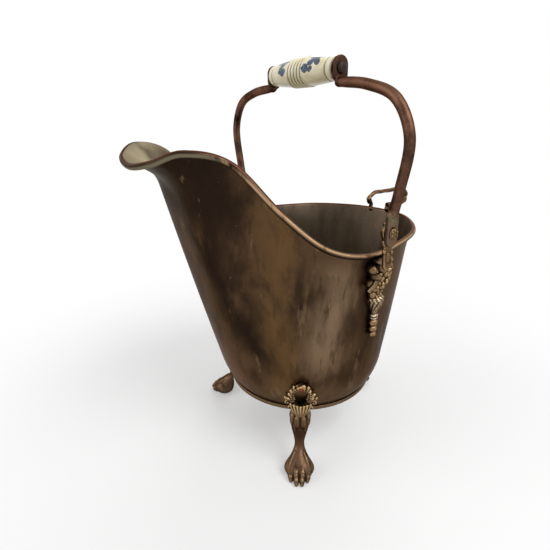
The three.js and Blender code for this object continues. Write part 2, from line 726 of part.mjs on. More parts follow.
// Feet with their rivets
const bores = [];
for (const [place, degrees] of Object.entries(footAngles)) {
  const angle = rad(degrees);
  const frame = footRivetFrame(angle);
  bores.push(bore(frame, -6, footRivetReach + 9));
  const shallow = bore(frame, footRivetReach, footRivetReach + 12, rivetHead + 0.4);
  add(`foot_${place}`, cut(footCasting(angle), [bores.at(-1), shallow]), castBrass);
  add(`foot_${place}_rivet`, fastener(frame, footRivetReach, true), beadBrass);
}

// Side mounts with their screws and pivot pins
const eyeBore = turnedX([[0, lugInside - 9], [pinRadius + pinClearance, lugInside - 9],
  [pinRadius + pinClearance, lugInside + 20], [0, lugInside + 20]], 14, pivot);
const blind = mountScrewFrames.map((frame) => bore(frame, -6, mountScrewReach + seat));
const mount = cut(sideMount(), [eyeBore, ...blind]);
const rosetteFace = tabInside + tabThickness + seat;
const pin = turnedX([[0, lugInside - seat - 2], [3.2, lugInside - seat - 2],
  [4.4, lugInside - seat], [pinRadius, lugInside - seat], [pinRadius, rosetteFace],
  [rosetteRadius, rosetteFace], [rosetteRadius, rosetteFace + 1.4], [rosetteRadius - 2, rosetteFace + rosetteHeight],
  [1.3, rosetteFace + rosetteHeight], [0, rosetteFace + rosetteHeight - 1.3]], 12, pivot);
const screws = mountScrewFrames.map((frame) => fastener(frame, mountScrewReach, false));
for (const [side, turn] of [["right", (s) => s], ["left", mirrored]]) {
  add(`side_mount_${side}`, turn(mount), castBrass);
  add(`pivot_pin_${side}`, turn(pin), castBrass);
  screws.forEach((screw, i) => add(`side_mount_screw_${side}_${i + 1}`, turn(screw), beadBrass));
  bores.push(...blind.map(turn));
}

// Rear handle with its rivets
const rearBores = rearRivetFrames.map((frame) => bore(frame, -6, 12));
bores.push(...rearBores);
const rearPockets = rearRivetFrames.map((frame) => bore(frame, rearRivetReach, 16, rivetHead + 0.4));
add("rear_handle", cut(rearHandle(), [...rearBores, ...rearPockets]), castBrass);
rearRivetFrames.forEach((frame, i) =>
  add(`rear_handle_rivet_${i + 1}`, fastener(frame, rearRivetReach, true), beadBrass));

// Bucket of two sheets that meet under the side mounts, wire and base
const shell = cut(solid(loft(columnList.map(shellRing), true)), bores);
add("bucket_front", shell.trimByPlane([0, -1, 0], seamForward + seat / 2), bodyBrass);
add("bucket_back", shell.trimByPlane([0, 1, 0], seat / 2 - seamForward), bodyBrass);
add("rim_wire", rimTube(wireRadius, 6), ironDark);
add("base_pan", pan, bodyBrass);

// Bail: arms, grip, bolt, nut and washers
const gripCentre = v3(0, gripBehind - pivotForward, gripHeight);
const { arm, earInside } = bailArm();
const earOutside = earInside + earThickness;
const boltBore = turnedX([[0, 40], [boltRadius + seat, 40], [boltRadius + seat, 70], [0, 70]], 14, gripCentre);
const drilledArm = cut(arm, [eyeBore, boltBore]);
add("bail_arm_right", inBail(drilledArm), rodCopper, bail);
add("bail_arm_left", inBail(mirrored(drilledArm)), rodCopper, bail);
add("ceramic_grip", inBail(turnedX(gripProfile(), 16, gripCentre)), ceramic, bail);
const washer = turnedX([[boltRadius + seat, gripLength / 2 + seat], [washerRadius, gripLength / 2 + seat],
  [washerRadius, gripLength / 2 + seat + washerThickness],
  [boltRadius + seat, gripLength / 2 + seat + washerThickness],
  [boltRadius + seat, gripLength / 2 + seat]], 14, gripCentre);
add("grip_washer_right", inBail(washer), ironDark, bail);
add("grip_washer_left", inBail(mirrored(washer)), ironDark, bail);
const boltEnd = earOutside + seat + nutThickness + 0.8;
const bolt = turnedX([[0, -boltEnd], [boltRadius - 0.5, -boltEnd], [boltRadius, -boltEnd + 0.6],
  [boltRadius, earOutside + seat], [1.86 * boltRadius, earOutside + seat],
  [1.86 * boltRadius, earOutside + seat + 0.6 * boltHeadHeight],
  [1.3 * boltRadius, earOutside + seat + boltHeadHeight], [0, earOutside + seat + boltHeadHeight]],
14, gripCentre);
add("grip_bolt", inBail(bolt), rodCopper, bail);
const nutFace = earOutside + seat;
const nut = cut(
  turnedX([[0, -nutFace - nutThickness], [nutAcross / sqrt(3), -nutFace - nutThickness],
    [nutAcross / sqrt(3), -nutFace], [0, -nutFace]], 6, gripCentre),
  [turnedX([[0, -nutFace - 9], [boltRadius + seat, -nutFace - 9], [boltRadius + seat, -nutFace + 3],
    [0, -nutFace + 3]], 14, gripCentre)],
);
add("grip_nut", inBail(nut), rodCopper, bail);

// The origin is on the floor under the middle of the whole object.
const bounds = new THREE.Box3().setFromObject(scuttle, true);
scuttle.position.y = -(bounds.min.y + bounds.max.y) / 2;

export default scuttle;
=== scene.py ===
"""Coal scuttle of darkened brass: bucket with a pouring spout, paw feet, swinging bail, scroll handle.

All shapes are worked out in millimetres round the axis of the round base, with the spout towards -Y,
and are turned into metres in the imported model's frame when their mesh is made.
"""

import logging
import math
from dataclasses import dataclass, field
from enum import Enum
from typing import Callable, Iterable, Optional, Sequence, Union

import bpy
import numpy as np
from bpy.types import Material, Node, NodeSocket, Object
from mathutils import Matrix, Vector


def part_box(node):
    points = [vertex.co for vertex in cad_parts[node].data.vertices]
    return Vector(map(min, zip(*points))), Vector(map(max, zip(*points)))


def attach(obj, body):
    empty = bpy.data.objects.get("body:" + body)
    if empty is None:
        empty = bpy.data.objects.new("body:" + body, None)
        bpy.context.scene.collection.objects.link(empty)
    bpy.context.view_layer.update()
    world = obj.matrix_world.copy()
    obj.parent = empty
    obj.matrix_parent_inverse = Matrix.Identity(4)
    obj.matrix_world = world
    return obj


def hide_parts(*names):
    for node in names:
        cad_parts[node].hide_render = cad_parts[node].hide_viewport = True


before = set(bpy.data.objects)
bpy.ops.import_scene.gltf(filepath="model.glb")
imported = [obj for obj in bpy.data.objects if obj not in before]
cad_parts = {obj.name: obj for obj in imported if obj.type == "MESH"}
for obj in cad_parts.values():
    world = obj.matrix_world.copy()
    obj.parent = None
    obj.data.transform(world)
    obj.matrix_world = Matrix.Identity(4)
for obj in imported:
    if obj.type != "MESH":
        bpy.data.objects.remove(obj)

log = logging.getLogger("scuttle")

MM = 0.001
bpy.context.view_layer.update()  # box of the plain solids, read before any piece is added
_pan_low, _pan_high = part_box("base_pan")
AXIS_Y = (_pan_low.y + _pan_high.y) / 2 / MM  # axis of the round base along Y, in millimetres

Array = np.ndarray
Colour = tuple[float, float, float]
Value = Union[float, int, tuple, "Signal", NodeSocket]


class Body(Enum):
    """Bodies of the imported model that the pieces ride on."""

    SCUTTLE = "scuttle"
    BAIL = "bail"
    GRIP = "grip"


class Side(Enum):
    """Side of the scuttle, as the sign of X."""

    RIGHT = 1
    LEFT = -1


STAND_UP: Array = np.eye(4)[[2, 0, 1, 3]]  # matrix that sends X, Y and Z to Y, Z and X


# ---- small maths


def unit(vector: Array) -> Array:
    """Scale vectors to length one.

    Args:
        vector: Vectors along the last axis.

    Returns:
        The unit vectors.
    """
    return vector / np.maximum(np.linalg.norm(vector, axis=-1, keepdims=True), 1e-12)


def srgb(red: float, green: float, blue: float) -> Colour:
    """Turn display colour numbers of 0 to 255 into linear ones.

    Args:
        red: Red as displayed.
        green: Green as displayed.
        blue: Blue as displayed.

    Returns:
        The linear colour.
    """
    shares = (value / 255 for value in (red, green, blue))
    return tuple(s / 12.92 if s < 0.04045 else ((s + 0.055) / 1.055) ** 2.4 for s in shares)


def spline(knots: Sequence[Sequence[float]], steps: int, power: float = 0.5) -> Array:
    """Draw a Catmull-Rom curve through knots.

    Args:
        knots: Points to pass through.
        steps: Stretches between the first and the last knot.
        power: 0.5 for centripetal spacing.

    Returns:
        The points of the curve, one more than its steps.
    """
    pts = np.array(knots, float)
    pts = np.vstack([2 * pts[0] - pts[1], pts, 2 * pts[-1] - pts[-2]])
    gaps = np.maximum(np.linalg.norm(np.diff(pts, axis=0), axis=1) ** power, 1e-6)
    out = []
    for k in range(steps + 1):
        at = min(k / steps * (len(pts) - 3), len(pts) - 3 - 1e-9)
        i, w = int(at), at - int(at)
        p0, p1, p2, p3 = pts[i : i + 4]
        d0, d1, d2 = gaps[i : i + 3]
        t1 = ((p1 - p0) / d0 - (p2 - p0) / (d0 + d1) + (p2 - p1) / d1) * d1
        t2 = ((p2 - p1) / d1 - (p3 - p1) / (d1 + d2) + (p3 - p2) / d2) * d1
        out.append(
            p1 + t1 * w + (3 * (p2 - p1) - 2 * t1 - t2) * w**2 + (2 * (p1 - p2) + t1 + t2) * w**3
        )
    return np.array(out)


# ---- meshes in millimetres


@dataclass
class Form:
    """A closed surface as points in millimetres and faces."""

    points: Array
    faces: list[tuple[int, ...]]

    def moved(self, place: Array) -> "Form":
        """Place the form with a 4 by 4 matrix."""
        return Form(self.points @ place[:3, :3].T + place[:3, 3], self.faces)

    def mirrored(self) -> "Form":
        """Mirror the form in the plane of the spout, its faces still outwards."""
        return Form(self.points * [-1, 1, 1], [face[::-1] for face in self.faces])

    def on(self, side: Side) -> "Form":
        """Put a form that was made for the right-hand side on either side."""
        return self if side is Side.RIGHT else self.mirrored()


def merged(forms: Iterable[Form]) -> Form:
    """Put several forms into one.

    Args:
        forms: The forms.

    Returns:
        One form that holds them all.
    """
    points, faces, start = [], [], 0
    for form in forms:
        points.append(form.points)
        faces.extend(tuple(i + start for i in face) for face in form.faces)
        start += len(form.points)
    return Form(np.vstack(points), faces)


def skin(rings: Array, closed: bool = False) -> Form:
    """Skin rings of points into one surface.

    Args:
        rings: Rings by points by three.
        closed: Whether the last ring joins the first, else the ends get fans.

    Returns:
        The skinned form.
    """
    count, width = rings.shape[:2]
    points = rings.reshape(-1, 3)
    faces = []
    for i in range(count if closed else count - 1):
        a, b = i * width, ((i + 1) % count) * width
        faces.extend(
            (a + j, a + (j + 1) % width, b + (j + 1) % width, b + j) for j in range(width)
        )
    if not closed:
        points = np.vstack([points, rings[0].mean(0), rings[-1].mean(0)])
        low, high, last = count * width, count * width + 1, (count - 1) * width
        faces.extend((low, (j + 1) % width, j) for j in range(width))
        faces.extend((high, last + j, last + (j + 1) % width) for j in range(width))
    return Form(points, faces)


def tube(
    path: Array,
    radius: Callable[[float], float],
    sides: int = 16,
    flat: float = 1.0,
    twist: float = 0.0,
    lobes: tuple[int, float] = (0, 0.0),
) -> Form:
    """Sweep a round or lobed section along a path.

    Args:
        path: Points of the path.
        radius: Radius at a share of the path.
        sides: Points round the section.
        flat: Share of the radius across the second axis.
        twist: Turn of the section from end to end, in radians.
        lobes: Number and depth of lobes round the section.

    Returns:
        The swept form.
    """
    side = None
    angles = np.arange(sides) * 2 * math.pi / sides
    rings = []
    for i, point in enumerate(path):
        along = unit(path[min(i + 1, len(path) - 1)] - path[max(i - 1, 0)])
        if side is None:
            side = np.array([1.0, 0, 0]) if abs(along[0]) < 0.9 else np.array([0, 1.0, 0])
        side = unit(side - along * side.dot(along))
        over = np.cross(along, side)
        share = i / (len(path) - 1)
        size = radius(share) * (1 + lobes[1] * np.cos(lobes[0] * angles))
        p, q, turn = size * np.cos(angles), size * flat * np.sin(angles), twist * share
        rings.append(
            point
            + np.outer(p * math.cos(turn) - q * math.sin(turn), side)
            + np.outer(p * math.sin(turn) + q * math.cos(turn), over)
        )
    return skin(np.array(rings))


def egg(centre: Sequence[float], sizes: Sequence[float], tilt: float = 0.0) -> Form:
    """Make an ellipsoid.

    Args:
        centre: Its middle.
        sizes: Half axes.
        tilt: Turn about the third axis, in radians.

    Returns:
        The ellipsoid.
    """
    across, down = 20, 12
    t = np.linspace(0, math.pi, down + 1)[1:-1]
    a = np.arange(across) * 2 * math.pi / across
    level = np.repeat(np.cos(t)[:, None], across, 1)
    rings = np.stack([np.outer(np.sin(t), np.cos(a)), np.outer(np.sin(t), np.sin(a)), level], -1)
    ball = skin(rings[::-1])
    ball.points[-2], ball.points[-1] = (0, 0, -1), (0, 0, 1)
    spin = np.array([[math.cos(tilt), -math.sin(tilt), 0], [math.sin(tilt), math.cos(tilt), 0], [0, 0, 1]])
    return Form((ball.points * sizes) @ spin.T + centre, ball.faces)


def turned(
    profile: Sequence[tuple[float, float]],
    segments: int,
    flutes: tuple[int, float, float] = (0, 0.0, 0.0),
    closed: bool = True,
) -> Form:
    """Turn a profile of (radius, height) about Z.

    Args:
        profile: Outline, anticlockwise with the radius to the right and the height up.
        segments: Columns round the axis.
        flutes: Number, depth and twist per millimetre of height of ribs round the form.
        closed: Whether the outline closes on itself clear of the axis, else fans close its ends.

    Returns:
        The turned form.
    """
    line = np.array(profile, float)
    angles = np.arange(segments) * 2 * math.pi / segments
    count, depth, twist = flutes
    grow = 1 + depth * np.abs(np.cos(count / 2 * (angles[None] + twist * line[:, 1:])))
    radii = line[:, :1] * grow
    rings = np.stack(
        [radii * np.cos(angles), radii * np.sin(angles), np.repeat(line[:, 1:], segments, 1)], -1
    )
    return skin(rings, closed)


def softened(profile: Sequence[tuple[float, float]], radius: float, steps: int = 4) -> list:
    """Round the corners of a closed outline.

    Args:
        profile: Corners of the outline.
        radius: How far from each corner the rounding starts.
        steps: Stretches in each rounding.

    Returns:
        The points of the rounded outline.
    """
    corners, out = np.array(profile, float), []
    for i, here in enumerate(corners):
        back, ahead = corners[i - 1] - here, corners[(i + 1) % len(corners)] - here
        reach_back = min(radius, np.linalg.norm(back) / 2.2)
        reach_on = min(radius, np.linalg.norm(ahead) / 2.2)
        start, end = here + unit(back) * reach_back, here + unit(ahead) * reach_on
        for k in range(steps + 1):
            t = k / steps
            out.append(tuple((1 - t) ** 2 * start + 2 * t * (1 - t) * here + t * t * end))
    return out


def slab(outline: Sequence[tuple[float, float]], low: float, high: float, edge: float) -> Form:
    """Thicken an outline in the XY plane along Z, its rims rounded.

    Args:
        outline: Corners, anticlockwise.
        low: Lower face.
        high: Upper face.
        edge: Radius of the rounded rims.

    Returns:
        The slab.
    """
    flat, steps = np.array(outline, float), 3
    ahead = unit(np.roll(flat, -1, 0) - np.roll(flat, 1, 0))
    outward = np.stack([ahead[:, 1], -ahead[:, 0]], -1)
    rings = []
    for height, turn in [(low, 1), (high, -1)]:
        part = []
        for k in range(steps + 1):
            a = math.pi / 2 * k / steps
            inset = edge * (1 - math.sin(a))
            rise = edge * (1 - math.cos(a))
            ring = flat - outward * inset
            part.append(np.column_stack([ring, np.full(len(flat), height + turn * rise)]))
        rings.extend(part if turn == 1 else part[::-1])
    return skin(np.array(rings))


def strip(middle: float, bottom: float, top: float, half: float) -> list[tuple[float, float]]:
    """Outline of a straight strip with round ends.

    Args:
        middle: Place of its middle line.
        bottom: Lower end.
        top: Upper end.
        half: Half width.

    Returns:
        Corners, anticlockwise.
    """
    steps = 14
    arc = [math.pi * k / steps for k in range(steps + 1)]
    return [(middle + half * math.cos(a), top - half + half * math.sin(a)) for a in arc] + [
        (middle - half * math.cos(a), bottom + half - half * math.sin(a)) for a in arc
    ]


def frame_at(origin: Array, normal: Array, up: Array) -> Array:
    """Frame whose third axis is a normal and whose second runs up a surface.

    Args:
        origin: Its origin.
        normal: Outward normal.
        up: Direction up the surface.

    Returns:
        The 4 by 4 matrix.
    """
    side = unit(np.cross(up, normal))
    made = np.eye(4)
    made[:3, 0], made[:3, 1], made[:3, 2], made[:3, 3] = side, np.cross(normal, side), normal, origin
    return made


def turn_about(axis: str, angle: float, origin: Sequence[float] = (0, 0, 0)) -> Array:
    """Matrix that turns about an axis through a point.

    Args:
        axis: X, Y or Z.
        angle: Angle in radians.
        origin: Point on the axis.

    Returns:
        The 4 by 4 matrix.
    """
    shift = Matrix.Translation(origin)
    return np.array(shift @ Matrix.Rotation(angle, 4, axis) @ shift.inverted())


# ---- objects


def linked(name: str, data: bpy.types.ID) -> Object:
    """Put data into the scene as an object at the origin.

    Args:
        name: Name of the object.
        data: Its mesh, curve, lamp or camera.

    Returns:
        The object.
    """
    made = bpy.data.objects.new(name, data)
    bpy.context.scene.collection.objects.link(made)
    return made


def raw_object(name: str, form: Form) -> Object:
    """Make an object from a form, still in millimetres.

    Args:
        name: Name of the object.
        form: Its shape.

    Returns:
        The linked object.
    """
    mesh = bpy.data.meshes.new(name)
    mesh.from_pydata(form.points.tolist(), [], form.faces)
    mesh.validate()
    return linked(name, mesh)


def evaluated_form(source: Object) -> Form:
    """Read an object's shape with its modifiers, and remove the object.

    Args:
        source: The object.

    Returns:
        The shape as a form.
    """
    graph = bpy.context.evaluated_depsgraph_get()
    mesh = bpy.data.meshes.new_from_object(source.evaluated_get(graph))
    points = np.zeros(len(mesh.vertices) * 3, np.float32)
    mesh.vertices.foreach_get("co", points)
    form = Form(points.reshape(-1, 3).astype(float), [tuple(p.vertices) for p in mesh.polygons])
    bpy.data.meshes.remove(mesh)
    old = source.data
    bpy.data.objects.remove(source)
    (bpy.data.curves if isinstance(old, bpy.types.Curve) else bpy.data.meshes).remove(old)
    return form


def fused(forms: Iterable[Form], voxel: float, rounds: int) -> Form:
    """Melt overlapping forms into one cast surface.

    Args:
        forms: Closed forms.
        voxel: Grain of the fused surface, in millimetres.
        rounds: How often the surface is smoothed.

    Returns:
        The fused form.
    """
    blank = raw_object("blank", merged(forms))
    melt = blank.modifiers.new("melt", "REMESH")
    melt.mode, melt.voxel_size, melt.adaptivity = "VOXEL", voxel, 0.0
    ease = blank.modifiers.new("ease", "SMOOTH")
    ease.factor, ease.iterations = 0.5, rounds
    return evaluated_form(blank)


def finish_piece(
    name: str,
    form: Form,
    dress: Material,
    body: Body,
    replaces: Sequence[str],
    sharp: Optional[float] = None,
    marks: Optional[dict[str, Array]] = None,
) -> Object:
    """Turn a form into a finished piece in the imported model's frame.

    Args:
        name: Name of the piece.
        form: Its shape round the base's axis, in millimetres.
        dress: Its material.
        body: Body that it rides on.
        replaces: Solids that it stands for.
        sharp: Angle in degrees past which an edge stays sharp.
        marks: Values for each point, by attribute name.

    Returns:
        The piece.
    """
    placed = Form((form.points + [0, AXIS_Y, 0]) * MM, form.faces)
    piece = raw_object(name, placed)
    mesh = piece.data
    mesh.shade_smooth()
    if sharp is not None:
        mesh.set_sharp_from_angle(angle=math.radians(sharp))
    for mark, values in (marks or {}).items():
        layer = mesh.attributes.new(mark, "FLOAT", "POINT")
        layer.data.foreach_set("value", np.asarray(values, np.float32))
    mesh.materials.append(dress)
    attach(piece, body.value)
    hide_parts(*replaces)
    log.info("%s: %d points, %d faces", name, len(mesh.vertices), len(mesh.polygons))
    return piece


def hollows(form: Form, rounds: int, depth: float) -> Array:
    """Measure how deep each point of a casting lies under its smoothed surface.

    Args:
        form: The casting.
        rounds: Rounds of smoothing, which set the width of the hollows.
        depth: Depth in millimetres that counts as full.

    Returns:
        0 on ridges, 0.5 on plain surface and 1 in hollows, for each point.
    """
    quads = np.array([(f[0], f[1], f[2], f[-1]) for f in form.faces])
    edges = np.vstack([quads[:, [i, (i + 1) % 4]] for i in range(4)])
    edges = edges[edges[:, 0] != edges[:, 1]]
    count = len(form.points)
    share = np.maximum(np.bincount(edges[:, 0], minlength=count), 1)[:, None]
    eased = form.points.copy()
    for _ in range(rounds):
        eased = (
            np.stack(
                [np.bincount(edges[:, 0], eased[edges[:, 1], k], minlength=count) for k in range(3)],
                -1,
            )
            / share
        )
    a, b, c = (form.points[quads[:, k]] for k in (0, 1, 2))
    flat = np.cross(b - a, c - a)
    normal = np.stack(
        [sum(np.bincount(quads[:, m], flat[:, k], minlength=count) for m in range(4)) for k in range(3)],
        -1,
    )
    return np.clip(0.5 + 0.5 * ((eased - form.points) * unit(normal)).sum(1) / depth, 0, 1)


# ---- shader maths


class Signal:
    """A number that runs through a node tree, with the usual operators."""

    def __init__(self, tree: bpy.types.NodeTree, socket: NodeSocket) -> None:
        """Wrap an output socket of a tree."""
        self.tree = tree
        self.socket = socket

    def math(self, operation: str, *others: Value) -> "Signal":
        """Add a Math node.

        Args:
            operation: The node's operation.
            others: Its further inputs.

        Returns:
            The result.
        """
        return Signal.work(self.tree, operation, self, *others)

    @staticmethod
    def work(tree: bpy.types.NodeTree, operation: str, *values: Value) -> "Signal":
        """Add a Math node on values of any kind.

        Args:
            tree: Tree of the node.
            operation: Its operation.
            values: Its inputs.

        Returns:
            The result.
        """
        node = tree.nodes.new("ShaderNodeMath")
        node.operation = operation
        for socket, value in zip(node.inputs, values):
            if isinstance(value, Signal):
                tree.links.new(value.socket, socket)
            else:
                socket.default_value = value
        return Signal(tree, node.outputs[0])

    def __add__(self, other: Value) -> "Signal":
        """Sum."""
        return self.math("ADD", other)

    __radd__ = __add__

    def __sub__(self, other: Value) -> "Signal":
        """Difference."""
        return self.math("SUBTRACT", other)

    def __rsub__(self, other: Value) -> "Signal":
        """Difference from a number."""
        return Signal.work(self.tree, "SUBTRACT", other, self)

    def __mul__(self, other: Value) -> "Signal":
        """Product."""
        return self.math("MULTIPLY", other)

    __rmul__ = __mul__

    def __truediv__(self, other: Value) -> "Signal":
        """Quotient."""
        return self.math("DIVIDE", other)

    def __rtruediv__(self, other: Value) -> "Signal":
        """Quotient of a number."""
        return Signal.work(self.tree, "DIVIDE", other, self)

    def __neg__(self) -> "Signal":
        """Negative."""
        return self.math("MULTIPLY", -1.0)

    def __abs__(self) -> "Signal":
        """Size without sign."""
        return self.math("ABSOLUTE")

    def top(self, other: Value) -> "Signal":
        """The larger of two."""
        return self.math("MAXIMUM", other)

    def low(self, other: Value) -> "Signal":
        """The smaller of two."""
        return self.math("MINIMUM", other)

    def hump(self, centre: Value, width: float) -> "Signal":
        """Bell that is 1 at a centre and fades over a width.

        Args:
            centre: Where it is 1.
            width: How far it reaches.

        Returns:
            The bell.
        """
        off = (self - centre) / width
        return (-(off * off)).math("EXPONENT")


class Paint:
    """A material under construction, in object coordinates as millimetres."""

    def __init__(self, name: str) -> None:
        """Make the material with its shader."""
        self.material = bpy.data.materials.new(name)
        self.material.use_nodes = True
        self.tree = self.material.node_tree
        self.shader = self.tree.nodes["Principled BSDF"]
        place = self.node("ShaderNodeTexCoord").outputs["Object"]
        shift = self.node(
            "ShaderNodeVectorMath", {"operation": "SUBTRACT"}, {0: place, 1: (0, AXIS_Y * MM, 0)}
        )
        self.place = self.node(
            "ShaderNodeVectorMath", {"operation": "SCALE"}, {0: shift.outputs[0], "Scale": 1 / MM}
        ).outputs[0]
        parts = self.node("ShaderNodeSeparateXYZ", {}, {0: self.place}).outputs
        self.x, self.y, self.z = (Signal(self.tree, part) for part in parts)

    def node(
        self, kind: str, settings: Optional[dict] = None, inputs: Optional[dict] = None
    ) -> Node:
        """Add a node.

        Args:
            kind: Its type.
            settings: Its settings.
            inputs: Values or links by socket name or number.

        Returns:
            The node.
        """
        made = self.tree.nodes.new(kind)
        for key, value in (settings or {}).items():
            setattr(made, key, value)
        for key, value in (inputs or {}).items():
            self.feed(made.inputs[key], value)
        return made

    def feed(self, socket: NodeSocket, value: Value) -> None:
        """Set or link one input.

        Args:
            socket: The input.
            value: A number, colour, signal or output socket.
        """
        if isinstance(value, Signal):
            self.tree.links.new(value.socket, socket)
        elif isinstance(value, NodeSocket):
            self.tree.links.new(value, socket)
        elif isinstance(value, tuple) and len(socket.default_value) == 4:
            socket.default_value = (*value, 1)
        else:
            socket.default_value = value

    def noise(self, scale: Sequence[float], detail: float = 4.0, rough: float = 0.55) -> Signal:
        """Cloudy noise round one half.

        Args:
            scale: Grains per millimetre along each axis.
            detail: Layers of finer noise.
            rough: Strength of the finer layers.

        Returns:
            The noise.
        """
        stretched = self.node(
            "ShaderNodeVectorMath", {"operation": "MULTIPLY"}, {0: self.place, 1: tuple(scale)}
        )
        made = self.node(
            "ShaderNodeTexNoise",
            {},
            {"Vector": stretched.outputs[0], "Scale": 1.0, "Detail": detail, "Roughness": rough},
        )
        return Signal(self.tree, made.outputs[0])

    def step(self, value: Signal, start: float, end: float) -> Signal:
        """Smooth step from 0 to 1.

        Args:
            value: What is measured.
            start: Value that gives 0.
            end: Value that gives 1.

        Returns:
            The step.
        """
        made = self.node(
            "ShaderNodeMapRange",
            {"interpolation_type": "SMOOTHSTEP"},
            {"Value": value, "From Min": start, "From Max": end},
        )
        return Signal(self.tree, made.outputs[0])

    def mix(self, under: Value, over: Value, share: Value) -> NodeSocket:
        """Lay one colour over another.

        Args:
            under: Colour under.
            over: Colour over.
            share: How much of the upper one shows.

        Returns:
            The mixed colour.
        """
        made = self.node("ShaderNodeMix", {"data_type": "RGBA"})
        self.feed(made.inputs["Factor"], share)
        for name, value in (("A", under), ("B", over)):
            socket = next(s for s in made.inputs if s.name == name and s.type == "RGBA")
            self.feed(socket, value)
        return next(s for s in made.outputs if s.type == "RGBA")

    def layered(self, base: Value, *layers: tuple[Value, Value]) -> Value:
        """Lay colours over a base, one after the other.

        Args:
            base: Colour under all.
            *layers: Colour and share of each layer, from the lowest up.

        Returns:
            The mixed colour.
        """
        for over, share in layers:
            base = self.mix(base, over, share)
        return base

    def mark(self, name: str) -> Signal:
        """Read a value that was stored on the points of the piece."""
        made = self.node("ShaderNodeAttribute", {"attribute_name": name})
        return Signal(self.tree, made.outputs["Fac"])

    def bump(self, height: Signal, depth: float, strength: float = 1.0) -> None:
        """Raise the surface by a height of 0 to 1.

        Args:
            height: The height.
            depth: Millimetres between 0 and 1.
            strength: Strength of the effect.
        """
        made = self.node(
            "ShaderNodeBump", {}, {"Strength": strength, "Distance": depth * MM, "Height": height}
        )
        self.feed(self.shader.inputs["Normal"], made.outputs[0])

    def coat(self, **inputs: Value) -> Material:
        """Set the shader's inputs and hand over the material.

        Args:
            **inputs: Values or links, with underscores for spaces.

        Returns:
            The material.
        """
        for key, value in inputs.items():
            self.feed(self.shader.inputs[key.replace("_", " ")], value)
        return self.material


def in_sight(tree: bpy.types.NodeTree) -> Signal:
    """Mask that is 1 on rays that show a surface as it is: straight on, in metal or through glaze.

    Args:
        tree: Tree that gets the mask.

    Returns:
        The mask.
    """
    rays = tree.nodes.new("ShaderNodeLightPath").outputs
    kinds = ("Is Camera Ray", "Is Glossy Ray", "Is Transmission Ray")
    camera, glossy, through = (Signal(tree, rays[kind]) for kind in kinds)
    return camera.top(glossy).top(through)


# ---- finishes


